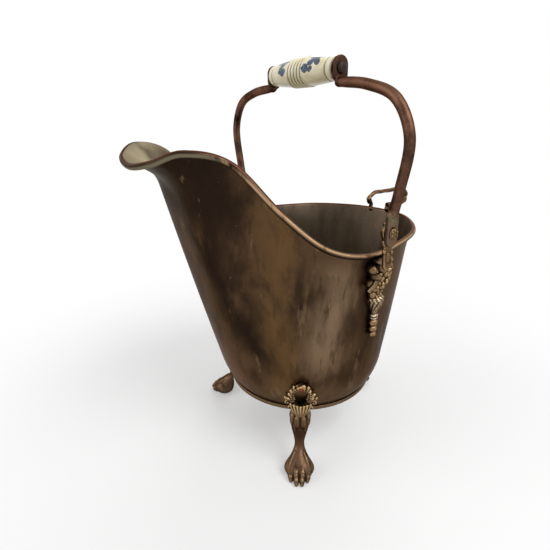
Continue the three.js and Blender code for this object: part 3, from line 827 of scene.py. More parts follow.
@dataclass(frozen=True)
class PatinatedBrass:
    """Darkened sheet brass with patches and streaks that run down the wall.

    Turns are in degrees from the spout, the same on both sides, and heights in millimetres above the floor.
    Some of the colour is painted light: a dark reflection by the spout, shade on the sides, a highlight and
    a shadow line on the rolled rim, and a lighter foot.
    """

    brown: Colour = srgb(82, 62, 44)
    umber: Colour = srgb(36, 27, 21)
    tan: Colour = srgb(124, 102, 80)
    golden: Colour = srgb(106, 79, 46)
    rose: Colour = srgb(116, 88, 70)
    inner: Colour = srgb(108, 94, 78)
    lip: Colour = srgb(146, 136, 112)
    edge: Colour = srgb(186, 152, 118)
    # edge also paints the highlight along the rolled rim
    copper: Colour = srgb(98, 62, 46)
    grazing: Colour = srgb(196, 191, 187)
    roughness: float = 0.38
    wander: float = 24.0
    run_turn: float = 10.0
    run_drift: float = 0.125
    run_top: float = 300.0
    golden_turn: float = 43.0
    trickle_turn: float = 52.0
    seam_turn: float = 53.0
    bright_turn: float = 67.0
    shade_turn: float = 92.0
    rear_turn: float = 112.0
    tongue: float = -128.0

    def make(self) -> Material:
        """Build the material.

        Returns:
            The material.
        """
        p = Paint("patinated_brass")
        degrees = Signal.work(p.tree, "ARCTAN2", p.x, -p.y) * (180 / math.pi)
        warp = p.noise((0.02, 0.02, 0.011), 4, 0.6) - 0.5
        turn = abs(degrees) + warp * self.wander
        blotch = p.noise((0.024, 0.024, 0.012), 6, 0.6)
        patch = p.noise((0.05, 0.05, 0.019), 5, 0.55)
        drip = p.noise((0.085, 0.085, 0.012), 5, 0.55)
        fine = p.noise((0.3, 0.3, 0.12), 5, 0.62)
        speck = p.noise((0.34, 0.34, 0.34), 1)
        grain = p.noise((1.6, 1.6, 0.4), 3)
        upper = p.step(p.z, 105, 150)
        belly = upper * p.step(p.z, 262, 225)
        breast = p.step(turn, 26, 4) * p.step(p.z, 190, 95)
        # painted reflection: umber laid on the upper wall beside the spout as a dark reflection
        spout_dark_reflection = p.step(turn, 38, 22) * p.step(p.z, 258, 300)
        run = turn.hump(self.run_turn + (self.run_top - p.z) * self.run_drift, 10.5) * p.step(p.z, 108, 150)
        outside = p.layered(
            self.brown,
            (self.umber, p.step(blotch, 0.5, 0.36) * 0.6),
            (self.rose, breast * 0.8),
            (self.umber, run * p.step(patch, 0.26, 0.52) * 0.95),
            (self.umber, spout_dark_reflection * 0.9),
            (self.golden, turn.hump(self.golden_turn, 8) * p.step(blotch, 0.36, 0.56) * 0.55),
            (self.golden, turn.hump(self.trickle_turn, 2.6) * p.step(p.z, 165, 135) * 0.8),
            (self.tan, turn.hump(self.bright_turn, 9.5) * belly * p.step(drip, 0.36, 0.5) * 0.95),
            (self.umber, turn.hump(self.seam_turn, 3.4) * belly * p.step(patch, 0.4, 0.5) * 0.7),
            (self.umber, turn.hump(self.shade_turn, 10) * upper * 0.5),
            (self.tan, p.step(turn, self.rear_turn, self.rear_turn + 28) * p.step(blotch, 0.42, 0.6) * 0.6),
            (self.umber, p.step(patch, 0.51, 0.59) * p.step(drip, 0.4, 0.54) * 0.28),
            (self.tan, p.step(drip, 0.6, 0.64) * p.step(patch, 0.52, 0.46) * 0.34),
            # painted light: the foot of the wall, turning in under the hip, is painted lighter in place of
            # the floor's reflection there
            (self.tan, p.step(p.z, 118, 84) * 0.22),
            (self.tan, p.step(p.z, 84, 71) * 0.35),
            (self.tan, p.step(fine, 0.6, 0.78) * 0.2),
            (self.umber, p.step(fine, 0.42, 0.26) * 0.25),
            (self.edge, p.step(speck, 0.83, 0.85) * 0.5),
        )
        inside, roll = p.mark("inside"), p.mark("bead")
        cavity = p.layered(
            self.umber,
            (self.inner, p.step(blotch * 0.7 + drip * 0.3, 0.25, 0.66) * 0.55 + 0.36),
            (self.lip, p.step(p.y, self.tongue, self.tongue - 30) * p.step(blotch, 0.2, 0.5) * 0.95),
        )
        front = p.step(p.y, self.tongue, self.tongue - 24)
        colour = p.layered(
            outside,
            (cavity, inside),
            # painted shadow: a dark line along the underside of the roll, where it tucks against the wall
            (self.umber, p.step(roll, 0.02, 0.1) * 0.9),
            (self.copper, roll.hump(0.2, 0.09) * 0.9),
            (self.lip, front * p.step(roll, 0.34, 0.5) * 0.55),
            # painted highlight, partly real wear: a pale line along the roll, broken up by the patches
            (self.edge, roll.hump(0.46, 0.1) * (1 - front) * p.step(patch, 0.3, 0.46) * 0.95),
        )
        p.bump(blotch * 0.6 + drip * 0.25 + grain * 0.04, 1.8, 0.6)
        gloss = self.roughness + (patch - 0.5) * 0.3 + inside * 0.1 + (grain - 0.5) * 0.08
        return p.coat(Base_Color=colour, Metallic=1.0, Roughness=gloss, Specular_Tint=self.grazing)


@dataclass(frozen=True)
class CastBrass:
    """Cast brass, worn bright on its ridges and dark in its hollows."""

    # worn ridges also carry painted highlights where the piece's sheen mark is high
    name: str = "cast_brass"
    ridge: Colour = srgb(182, 154, 112)
    plain: Colour = srgb(96, 74, 56)
    hollow: Colour = srgb(20, 14, 10)
    # near-white of the painted highlights
    bright: Colour = srgb(232, 224, 204)
    calf: Colour = srgb(58, 36, 27)
    enamel: Colour = srgb(150, 44, 38)
    grazing: Colour = srgb(186, 180, 173)
    roughness: float = 0.38
    calf_height: float = 46.0
    calf_reach: float = 15.0

    def make(self) -> Material:
        """Build the material.

        Returns:
            The material.
        """
        p = Paint(self.name)
        depth, gilt = p.mark("hollow"), p.mark("gilt")
        blotch = p.noise((0.09, 0.09, 0.06), 5, 0.62)
        fine = p.noise((0.9, 0.9, 0.9), 4, 0.6)
        worn = p.step(depth + (fine - 0.5) * 0.3, 0.47, 0.24)
        sunk = p.step(depth + (fine - 0.5) * 0.25, 0.46, 0.68)
        glint_patches = p.step(p.noise((0.3, 0.3, 0.22), 3), 0.4, 0.56)
        # painted highlight: near-white glints on the worn ridges, in patches, where the sheen mark is high
        lit = p.mix(self.ridge, self.bright, p.step(gilt, 1.1, 1.7) * glint_patches)
        colour = p.layered(
            self.hollow,
            (self.plain, p.step(blotch, 0.22, 0.52)),
            (self.ridge, gilt.low(1.0) * 0.3 * p.step(blotch, 0.3, 0.62)),
            (self.calf, p.z.hump(self.calf_height, self.calf_reach) * 0.75),
            (lit, worn * (gilt * 0.62 + 0.2).low(1.0)),
            (self.hollow, sunk * (gilt * 0.35 + 0.58).low(0.97)),
            (self.enamel, p.step(p.mark("spot"), 0.2, 0.8) * 0.8),
        )
        p.bump(fine * 0.4 + blotch * 0.6, 0.35, 0.6)
        gloss = self.roughness + (fine - 0.5) * 0.2 + sunk * 0.22 - worn * 0.08
        return p.coat(Base_Color=colour, Metallic=1.0, Roughness=gloss, Specular_Tint=self.grazing)


@dataclass(frozen=True)
class CopperRod:
    """Forged rod with a matt copper brown skin and some green in its joints."""

    red: Colour = srgb(106, 76, 60)
    brown: Colour = srgb(52, 36, 29)
    green: Colour = srgb(112, 116, 84)
    tab: Colour = srgb(112, 92, 76)
    grazing: Colour = srgb(180, 173, 168)
    roughness: float = 0.45
    tab_side: float = 118.0
    tab_top: float = 294.0
    joint_height: float = 290.0
    ear_side: float = 62.0

    def make(self) -> Material:
        """Build the material.

        Returns:
            The material.
        """
        p = Paint("copper_brown_rod")
        cloud = p.noise((0.05, 0.05, 0.05), 5, 0.6)
        fine = p.noise((0.7, 0.7, 0.7), 5, 0.62)
        side = abs(p.x)
        end = p.step(side, self.tab_side, self.tab_side + 6)
        colour = p.layered(
            self.brown,
            (self.red, p.step(cloud * 0.7 + fine * 0.3, 0.34, 0.6)),
            (self.tab, end * p.step(p.z, self.tab_top, self.tab_top - 8) * 0.8),
            (self.green, end * p.z.hump(self.joint_height, 5) * p.step(fine, 0.42, 0.6) * 0.7),
            (self.brown, p.step(side, self.ear_side, self.ear_side - 5) * 0.65),
            (self.brown, p.step(fine, 0.4, 0.24) * 0.6),
        )
        p.bump(fine * 0.7 + cloud * 0.3, 0.3, 0.6)
        gloss = self.roughness + (fine - 0.5) * 0.25
        return p.coat(Base_Color=colour, Metallic=1.0, Roughness=gloss, Specular_Tint=self.grazing)


@dataclass(frozen=True)
class DarkIron:
    """Dull iron with rust brown freckles."""

    dark: Colour = srgb(44, 37, 33)
    rust: Colour = srgb(88, 60, 44)
    roughness: float = 0.5

    def make(self) -> Material:
        """Build the material.

        Returns:
            The material.
        """
        p = Paint("dark_iron")
        fine = p.noise((0.9, 0.9, 0.9), 5, 0.6)
        colour = p.mix(self.dark, self.rust, p.step(fine, 0.5, 0.72))
        p.bump(fine, 0.2, 0.6)
        return p.coat(Base_Color=colour, Metallic=0.85, Roughness=self.roughness + (fine - 0.5) * 0.3)


@dataclass(frozen=True)
class PaintedCeramic:
    """Cream glaze with brushed blue sprays and stained grooves.

    Each leaf is its place along and around the barrel, its length and width, and its tilt in degrees.
    """

    axis_y: float
    axis_z: float
    cream: Colour = srgb(234, 226, 198)
    warm: Colour = srgb(206, 192, 148)
    stain: Colour = srgb(62, 50, 36)
    blue: Colour = srgb(8, 48, 92)
    pale_blue: Colour = srgb(24, 92, 122)
    navy: Colour = srgb(3, 8, 30)
    radius: float = 12.5
    end: float = 50.2
    roughness: float = 0.16
    wobble: float = 2.4
    back: float = 0.7
    leaves: tuple[tuple[float, ...], ...] = (
        (28, 6, 6.0, 4.0, 10), (24, 11.5, 5.2, 3.8, -35), (32, 12, 4.4, 3.4, 40),
        (17, 17.5, 4.8, 4.0, 20), (24.5, 18.5, 3.4, 2.6, -20), (34, 3.5, 3.8, 2.6, -30),
        (20, 4.5, 3.4, 2.6, 30), (-17, 6.5, 4.6, 3.2, -40), (-23, 11.5, 6.2, 3.2, -50),
        (-28, 7.5, 4.4, 2.6, -25), (-20, 18.5, 4.8, 3.6, -10), (-26, 18, 2.8, 2.0, 20),
    )

    def sprays(self, p: Paint, along: Signal, around: Signal) -> Signal:
        """Brushed leaves on the barrel.

        Args:
            p: Paint of the material.
            along: Place along the axis, in millimetres.
            around: Place round the barrel, in millimetres.

        Returns:
            1 inside a leaf, fading at its brushed edge.
        """
        total: Optional[Signal] = None
        for at, up, length, width, tilt in self.leaves:
            cos, sin = math.cos(math.radians(tilt)), math.sin(math.radians(tilt))
            u = ((along - at) * cos + (around - up) * sin) / length
            v = ((around - up) * cos - (along - at) * sin) / width
            leaf = p.step(u * u + v * v, 1.25, 0.85)
            total = leaf if total is None else total.top(leaf)
        return total

    def make(self) -> Material:
        """Build the material.

        Returns:
            The material.
        """
        p = Paint("glazed_ceramic")
        turn = Signal.work(p.tree, "ARCTAN2", self.axis_y - p.y, p.z - self.axis_z)
        wobble = p.noise((0.35, 0.35, 0.35), 3) - 0.5
        cloud = p.noise((0.06, 0.06, 0.06), 4)
        fine = p.noise((1.3, 1.3, 1.3), 4)
        folded = (turn + math.pi * 2 + self.back).math("MODULO", math.pi) - self.back
        sprays = self.sprays(p, p.x + wobble * self.wobble, folded * self.radius + wobble * self.wobble)
        # painted shade, over a real cloudy warm tone: the underside of the barrel is pushed towards the
        # darker warm colour
        under = p.step(p.z, self.axis_z + 4, self.axis_z - 12)
        grooves = p.mark("groove")
        ink = p.layered(
            self.blue,
            (self.pale_blue, p.step(fine * 0.5 + wobble + 0.5, 0.74, 0.95)),
            (self.navy, p.step(fine * 0.4 + wobble + 0.5, 0.74, 0.56) * 0.9),
        )
        colour = p.layered(
            self.cream,
            (self.warm, p.step(cloud + under * 0.35, 0.42, 0.8) * 0.75),
            (ink, sprays * 0.96),
            (self.stain, grooves * p.step(fine, 0.2, 0.45) * 0.95),
            (self.stain, abs(p.x).hump(self.end, 0.8) * 0.5),
        )
        p.bump(cloud * 0.8 + fine * 0.03, 0.25, 0.35)
        gloss = self.roughness + grooves * 0.3 + (cloud - 0.5) * 0.06
        return p.coat(Base_Color=colour, Roughness=gloss, IOR=1.42, Coat_Weight=0.15, Coat_Roughness=0.08)


@dataclass(frozen=True)
class StudioFloor:
    """Pale floor that keeps the soft shadow and runs out into plain white."""

    tone: Colour = (0.88, 0.88, 0.88)
    shadow_reach: float = 240.0
    white_reach: float = 620.0

    def make(self) -> Material:
        """Build the material.

        Returns:
            The material.
        """
        p = Paint("studio_floor")
        p.coat(Base_Color=self.tone, Roughness=0.9, Specular_IOR_Level=0.1)
        glow = p.node("ShaderNodeEmission", {}, {"Color": (1.0, 1.0, 1.0), "Strength": 1.0})
        reach = (p.x * p.x + p.y * p.y).math("SQRT")
        share = in_sight(p.tree) * (p.step(reach, self.shadow_reach, self.white_reach) * 0.7 + 0.3)
        mixed = p.node("ShaderNodeMixShader", {}, {0: share, 1: p.shader.outputs[0], 2: glow.outputs[0]})
        p.feed(p.tree.nodes["Material Output"].inputs["Surface"], mixed.outputs[0])
        return p.material


# ---- geometry node trees


class NodeTree:
    """A geometry node tree with named inputs that ends in one realised, dressed mesh."""

    def __init__(self, name: str, **sizes: Union[float, int]) -> None:
        """Start the tree with its geometry input and output, and its named inputs.

        Args:
            name: Name of the tree.
            **sizes: Default of each named input, with underscores for spaces.
        """
        self.tree = bpy.data.node_groups.new(name, "GeometryNodeTree")
        face = self.tree.interface
        face.new_socket("Geometry", in_out="INPUT", socket_type="NodeSocketGeometry")
        face.new_socket("Geometry", in_out="OUTPUT", socket_type="NodeSocketGeometry")
        self.names: dict[str, str] = {}
        for key, value in sizes.items():
            kind = "NodeSocketInt" if isinstance(value, int) else "NodeSocketFloat"
            socket = face.new_socket(key.replace("_", " "), in_out="INPUT", socket_type=kind)
            socket.default_value = value
            self.names[key] = socket.identifier
        self.start = self.tree.nodes.new("NodeGroupInput")
        self.end = self.tree.nodes.new("NodeGroupOutput")

    def node(
        self, kind: str, settings: Optional[dict] = None, inputs: Optional[dict] = None
    ) -> Node:
        """Add a node.

        Args:
            kind: Its type.
            settings: Its settings.
            inputs: Values, links, or names of the tree's inputs, by socket name or number.

        Returns:
            The node.
        """
        made = self.tree.nodes.new(kind)
        for key, value in (settings or {}).items():
            setattr(made, key, value)
        for key, value in (inputs or {}).items():
            if isinstance(value, str):
                self.tree.links.new(self.start.outputs[value], made.inputs[key])
            elif isinstance(value, NodeSocket):
                self.tree.links.new(value, made.inputs[key])
            else:
                made.inputs[key].default_value = value
        return made

    def math(self, operation: str, *values: Union[float, str, NodeSocket]) -> NodeSocket:
        """Add a Math node on numbers, links or named inputs, and hand over its result."""
        made = self.node("ShaderNodeMath", {"operation": operation}, dict(enumerate(values)))
        return made.outputs[0]

    def stored(self, name: str, kind: str) -> NodeSocket:
        """Read an attribute that the starting geometry carries.

        Args:
            name: Name of the attribute.
            kind: Its data type.

        Returns:
            The socket.
        """
        made = self.node("GeometryNodeInputNamedAttribute", {"data_type": kind})
        made.inputs["Name"].default_value = name
        return made.outputs[0]

    def close(self, geometry: NodeSocket, dress: Optional[Material]) -> None:
        """End the tree: real copies, one material.

        Args:
            geometry: What the tree made.
            dress: Material of the result.
        """
        real = self.node("GeometryNodeRealizeInstances", {}, {0: geometry})
        dressed = self.node(
            "GeometryNodeSetMaterial", {}, {"Geometry": real.outputs[0], "Material": dress}
        )
        self.tree.links.new(dressed.outputs[0], self.end.inputs[0])

    def grow(self, source: Object, **sizes: Union[float, int]) -> Form:
        """Run the tree on an object and take the result as a form.

        Args:
            source: Object that it starts from, which is used up.
            **sizes: Values for the named inputs, with underscores for spaces.

        Returns:
            The form.
        """
        run = source.modifiers.new("grow", "NODES")
        run.node_group = self.tree
        for name, value in sizes.items():
            run[self.names[name]] = value
        return evaluated_form(source)


def curve_object(points: Array, closed: bool = False) -> Object:
    """Make a curve object through points.

    Args:
        points: Its points, in millimetres.
        closed: Whether it closes on itself.

    Returns:
        The linked object.
    """
    data = bpy.data.curves.new("line", "CURVE")
    data.dimensions = "3D"
    line = data.splines.new("POLY")
    line.points.add(len(points) - 1)
    line.points.foreach_set("co", np.column_stack([points, np.ones(len(points))]).ravel())
    line.use_cyclic_u = closed
    return linked("line", data)


def points_object(spots: Sequence[tuple[Array, Array, float]]) -> Object:
    """Make an object of loose points that face somewhere.

    Args:
        spots: Place, facing and size factor of each point.

    Returns:
        The linked object.
    """
    mesh = bpy.data.meshes.new("spots")
    mesh.from_pydata([list(place) for place, _, _ in spots], [], [])
    facing = mesh.attributes.new("facing", "FLOAT_VECTOR", "POINT")
    facing.data.foreach_set("vector", np.array([f for _, f, _ in spots], np.float32).ravel())
    factor = mesh.attributes.new("factor", "FLOAT", "POINT")
    factor.data.foreach_set("value", np.array([s for _, _, s in spots], np.float32))
    return linked("spots", mesh)


def rod_tree(dress: Material) -> NodeTree:
    """Tree that sweeps a round rod along a curve, thinner towards its ends where asked.

    Args:
        dress: Material of the rod.

    Returns:
        The tree.
    """
    made = NodeTree("rod_along_curve", Radius=4.6, End_Radius=4.2, Sides=28, Step=2.0)
    even = made.node(
        "GeometryNodeResampleCurve", {"mode": "LENGTH"}, {"Curve": made.start.outputs[0], "Length": "Step"}
    )
    share = made.node("GeometryNodeSplineParameter").outputs["Factor"]
    fade = made.node(
        "ShaderNodeMapRange",
        {"interpolation_type": "SMOOTHSTEP"},
        {"Value": share, "From Min": 0.9, "From Max": 1.0, "To Min": "Radius", "To Max": "End Radius"},
    )
    sized = made.node(
        "GeometryNodeSetCurveRadius", {}, {"Curve": even.outputs[0], "Radius": fade.outputs[0]}
    )
    ring = made.node(
        "GeometryNodeCurvePrimitiveCircle", {"mode": "RADIUS"}, {"Resolution": "Sides", "Radius": 1.0}
    )
    width = made.node("GeometryNodeInputRadius")
    swept = made.node(
        "GeometryNodeCurveToMesh",
        {},
        {
            "Curve": sized.outputs[0],
            "Profile Curve": ring.outputs[0],
            "Scale": width.outputs[0],
            "Fill Caps": True,
        },
    )
    made.close(swept.outputs[0], dress)
    return made


def head_tree(dress: Material) -> NodeTree:
    """Tree that seats a domed rivet head on every point.

    Args:
        dress: Material of the heads.

    Returns:
        The tree.
    """
    made = NodeTree("rivet_heads", Head_Radius=3.3, Head_Height=1.5)
    ball = made.node("GeometryNodeMeshUVSphere", {}, {"Segments": 28, "Rings": 16, "Radius": 1.0})
    spot = made.node("GeometryNodeInputPosition")
    place = made.node("ShaderNodeSeparateXYZ", {}, {0: spot.outputs[0]}).outputs
    wide = [made.math("MULTIPLY", place[k], "Head Radius") for k in (0, 1)]
    tall = made.math("MULTIPLY", made.math("MAXIMUM", place[2], -0.12), "Head Height")
    shape = made.node("ShaderNodeCombineXYZ", {}, {0: wide[0], 1: wide[1], 2: tall})
    dome = made.node(
        "GeometryNodeSetPosition", {}, {"Geometry": ball.outputs[0], "Position": shape.outputs[0]}
    )
    aim = made.node(
        "FunctionNodeAlignRotationToVector", {"axis": "Z"}, {"Vector": made.stored("facing", "FLOAT_VECTOR")}
    )
    seated = made.node(
        "GeometryNodeInstanceOnPoints",
        {},
        {
            "Points": made.start.outputs[0],
            "Instance": dome.outputs[0],
            "Rotation": aim.outputs[0],
            "Scale": made.stored("factor", "FLOAT"),
        },
    )
    made.close(seated.outputs[0], dress)
    return made


def bead_tree(dress: Material) -> NodeTree:
    """Tree that strings beads evenly along a curve, growing towards its middle.

    Args:
        dress: Material of the beads.

    Returns:
        The tree.
    """
    made = NodeTree("beads_along_curve", Count=9, Radius=2.4, Growth=0.0, Length=1.0)
    spots = made.node(
        "GeometryNodeCurveToPoints", {"mode": "COUNT"}, {"Curve": made.start.outputs[0], "Count": "Count"}
    )
    bead = made.node("GeometryNodeMeshUVSphere", {}, {"Segments": 14, "Rings": 9, "Radius": 1.0})
    index = made.node("GeometryNodeInputIndex").outputs[0]
    share = made.math("DIVIDE", index, made.math("SUBTRACT", "Count", 1.0))
    arch = made.math("SINE", made.math("MULTIPLY", share, math.pi))
    grown = made.math("MULTIPLY_ADD", arch, "Growth", "Radius")
    long = made.math("MULTIPLY", grown, "Length")
    size = made.node("ShaderNodeCombineXYZ", {}, {0: grown, 1: grown, 2: long})
    strung = made.node(
        "GeometryNodeInstanceOnPoints",
        {},
        {
            "Points": spots.outputs[0],
            "Instance": bead.outputs[0],
            "Rotation": spots.outputs["Rotation"],
            "Scale": size.outputs[0],
        },
    )
    made.close(strung.outputs[0], dress)
    return made


# ---- bucket


@dataclass
class Bucket:
    """Sheet bucket with its rolled rim, and the round pan that closes it."""

    sheet: float = 1.0
    base_radius: float = 86.5
    base_height: float = 68.5
    collar: float = 4.5
    hip_radius: float = 98.0
    hip_height: float = 95.0
    belly: float = 0.9
    rim_height: float = 254.0
    rim_forward: float = 1.5
    side_reach: float = 115.5
    back_reach: float = 143.0
    spout_reach: float = 182.5
    spout_height: float = 334.0
    ear_rise: float = 13.0
    side_flare: float = 2.5
    side_drop: float = 9.0
    lip_flare: float = 29.0
    lip_drop: float = 10.0
    lip_spread: float = math.radians(29.5)
    roll_radius: float = 2.3
    roll_turn: float = math.radians(285)
    seat: float = 0.3
    pan_rise: float = 6.0
    band_height: float = 3.0
    bend_from: float = 0.05
    flare_from: float = 0.92
    roll_steps: int = 16
    columns: int = 240
    _rim: Array = field(init=False, repr=False)
    _reach: Optional[Array] = field(default=None, init=False, repr=False)

    def __post_init__(self) -> None:
        """Lay out the rim's stations round the whole bucket."""
        side, back, tip, high = self.side_reach, self.back_reach, self.spout_reach, self.spout_height
        stations = [  # turn in degrees from the spout, distance from the axis, height
            (0, tip, high), (13, tip - 1, high + 0.4 * self.ear_rise),
            (21.5, tip - 14, high + self.ear_rise), (31, tip - 40, high + 0.2 * self.ear_rise),
            (46.5, side + 14, self.rim_height + 42), (63, side + 7, self.rim_height + 11.5),
            (83, side, self.rim_height), (108, side - 5, self.rim_height),
            (136, side + 4, self.rim_height + 1), (161, back - 11.5, self.rim_height + 1),
            (180, back, self.rim_height - 1),
        ]
        right = [
            (r * math.sin(math.radians(a)), -r * math.cos(math.radians(a)) - self.rim_forward, z)
            for a, r, z in stations
        ]
        self._rim = np.array(right + [(-x, y, z) for x, y, z in right[-2:0:-1]])

    def rim_point(self, share: Array) -> Array:
        """Points of the rim at shares of its way round, from the tip of the spout."""
        share = np.atleast_1d(share) % 1.0
        count = len(self._rim)
        at = share * count
        i = np.floor(at).astype(int)
        w = (at - i)[:, None]
        p0, p1, p2, p3 = (self._rim[(i + k) % count] for k in (-1, 0, 1, 2))
        t0, t1 = 0.5 * (p2 - p0), 0.5 * (p3 - p1)
        return p1 + t0 * w + (3 * (p2 - p1) - 2 * t0 - t1) * w**2 + (2 * (p1 - p2) + t0 + t1) * w**3

    def rim_share(self, angle: float) -> float:
        """Share of the rim's way at a plan angle from the spout."""
        low, high, halvings = 0.0, 0.5, 40
        for _ in range(halvings):
            mid = (low + high) / 2
            x, y = self.rim_point(mid)[0, :2]
            low, high = (mid, high) if math.atan2(x, -y) < abs(angle) else (low, mid)
        return 1 - low if angle < 0 else low

    def lines(self, angles: Array, rims: Array) -> Array:
        """Middle line of the wall at plan angles, as reach and height from the foot to the rim.

        Args:
            angles: Plan angles from the spout.
            rims: Rim points at those angles.

        Returns:
            Angles by rows by two.
        """
        reach, high = np.hypot(rims[:, 0], rims[:, 1]), rims[:, 2]
        lip = np.exp(-((angles / self.lip_spread) ** 2))
        rim = np.stack([reach, high], -1)
        knee = rim - np.stack(
            [
                self.side_flare + (self.lip_flare - self.side_flare) * lip,
                self.side_drop + (self.lip_drop - self.side_drop) * lip,
            ],
            -1,
        )
        hip = np.array([self.hip_radius, self.hip_height])
        foot = np.array([self.base_radius - self.sheet / 2, self.base_height])

        def on_wall(share: float) -> Array:
            """Point on the straight line from hip to knee."""
            return hip + (knee - hip) * share

        def bend(start: Array, by: Array, end: Array, steps: int) -> list[Array]:
            """Points of a quadratic bend."""
            shares = [k / steps for k in range(steps + 1)]
            return [(1 - t) ** 2 * start + 2 * t * (1 - t) * by + t * t * end for t in shares]

        start, end = self.bend_from, self.flare_from
        blank = np.zeros_like(rim)
        rows = [foot + blank, foot + [0, self.collar * 0.5] + blank]
        rows += bend(foot + [0, self.collar] + blank, hip + [-3, -12] + blank, on_wall(start), 9)
        for share in np.linspace(start, end, 19)[1:-1]:
            bow = self.belly * math.sin(math.pi * (share - start) / (end - start))
            rows.append(on_wall(share) + [bow, 0])
        rows += bend(on_wall(end), knee, rim, 12)
        return np.stack(rows, 1)

    def middle(self, shares: Array) -> tuple[Array, Array]:
        """Middle surface of the wall and its outward normals.

        Args:
            shares: Evenly spaced shares of the rim's way.

        Returns:
            Points and normals, columns by rows by three.
        """
        rims = self.rim_point(shares)
        angles = np.arctan2(rims[:, 0], -rims[:, 1])
        lines = self.lines(angles, rims)
        sin, cos = np.sin(angles)[:, None], np.cos(angles)[:, None]
        grid = np.stack([lines[..., 0] * sin, -lines[..., 0] * cos, lines[..., 1]], -1)
        round_ = np.roll(grid, -1, 0) - np.roll(grid, 1, 0)
        up = np.empty_like(grid)
        up[:, 1:-1] = grid[:, 2:] - grid[:, :-2]
        up[:, 0], up[:, -1] = grid[:, 1] - grid[:, 0], grid[:, -1] - grid[:, -2]
        return grid, unit(np.cross(round_, up))

    def wall_frame(self, angle: float, height: float) -> Array:
        """Frame on the outside of the wall: X to the side, Y up the wall, Z outwards.

        Args:
            angle: Plan angle from the spout.
            height: Height above the floor.

        Returns:
            The 4 by 4 matrix.
        """

        def spot(at: float) -> tuple[Array, Array]:
            """Point and slope of the middle line at a plan angle."""
            wrapped = at - 2 * math.pi if at > math.pi else at
            rim = self.rim_point(self.rim_share(wrapped))
            line = self.lines(np.array([wrapped]), rim)[0]
            j = max(1, min(int(np.searchsorted(line[:, 1], height)), len(line) - 1))
            low, high = line[j - 1], line[j]
            reach = low[0] + (high[0] - low[0]) * (height - low[1]) / (high[1] - low[1])
            return np.array([reach * math.sin(at), -reach * math.cos(at), height]), high - low

        nudge = 0.02
        here, slope = spot(angle)
        across = spot(angle + nudge)[0] - spot(angle - nudge)[0]
        up = unit(np.array([slope[0] * math.sin(angle), -slope[0] * math.cos(angle), slope[1]]))
        normal = unit(np.cross(across, up))
        return frame_at(here + normal * self.sheet / 2, normal, up)

    def shell(self) -> tuple[Form, dict[str, Array]]:
        """Wall with its rolled rim.

        Returns:
            The closed form, and the marks for its inside and its bead.
        """
        grid, normals = self.middle(np.arange(self.columns) / self.columns)
        rim = grid[:, -1]
        along = unit(np.roll(rim, -1, 0) - np.roll(rim, 1, 0))
        out = normals[:, -1]
        over = np.cross(out, along)
        over *= np.sign((over * (rim - grid[:, -2])).sum(1))[:, None]
        centre = rim + out * self.roll_radius
        half, steps = self.sheet / 2, self.roll_steps
        outer = list(np.moveaxis(grid + normals * half, 1, 0))
        inner = list(np.moveaxis(grid - normals * half, 1, 0))
        flat, hidden = len(outer), [0.0] * steps
        for k in range(1, steps + 1):
            a = self.roll_turn * k / steps
            around = over * math.sin(a) - out * math.cos(a)
            outer.append(centre + around * (self.roll_radius - half))
            inner.append(centre + around * (self.roll_radius + half))
        shown = [k / steps for k in range(steps, 0, -1)]
        marks = {
            "inside": [0.0] * flat + [0.6] * steps + [0.0] * steps + [1.0] * flat,
            "bead": [0.0] * flat + hidden + shown + [0.0] * flat,
        }
        ring = np.stack(outer + inner[::-1], 1)
        width = ring.shape[1]
        shell = skin(ring, closed=True)
        shell.faces = [tuple(face[::-1]) for face in shell.faces]
        return shell, {k: np.tile(np.array(v[:width]), self.columns) for k, v in marks.items()}

    def pan(self) -> Form:
        """Round pan whose edge folds under the wall and up outside it.

        Returns:
            The closed form.
        """
        inner = self.base_radius - self.sheet - self.seat
        outer = self.base_radius + self.seat
        top, low, s = self.base_height + self.pan_rise, self.base_height - self.seat, self.sheet
        profile = [
            (2, top - s), (inner - s, top - s), (inner - s, low - s), (outer + s, low - s),
            (outer + s, self.base_height + self.band_height), (outer, self.base_height + self.band_height),
            (outer, low), (inner, low), (inner, top), (2, top),
        ]
        line = softened(profile, 0.7)[5:-5]
        return turned([profile[0], *line, profile[-1]], 200, closed=False)

    def build(self, dress: Material, iron: Material) -> None:
        """Make the bucket, its wire and its pan.

        Args:
            dress: Material of the sheet.
            iron: Material of the wire.
        """
        shell, marks = self.shell()
        finish_piece(
            "bucket_skin", shell, dress, Body.SCUTTLE,
            ["bucket_front", "bucket_back"], 50, marks,
        )
        grid, normals = self.middle(np.arange(self.columns) / self.columns)
        core = grid[:, -1] + normals[:, -1] * self.roll_radius
        wire = rod_tree(iron).grow(
            curve_object(core, closed=True), Radius=1.45, End_Radius=1.45, Sides=12, Step=4.0
        )
        finish_piece("rim_wire_round", wire, iron, Body.SCUTTLE, ["rim_wire"], 60)
        pan = self.pan()
        floor = pan.points[:, 2] > self.base_height + self.band_height + 1
        marks = {"inside": np.where(floor, 0.8, 0.0)}
        finish_piece(
            "base_pan_round", pan, dress, Body.SCUTTLE, ["base_pan"], 50, marks
        )

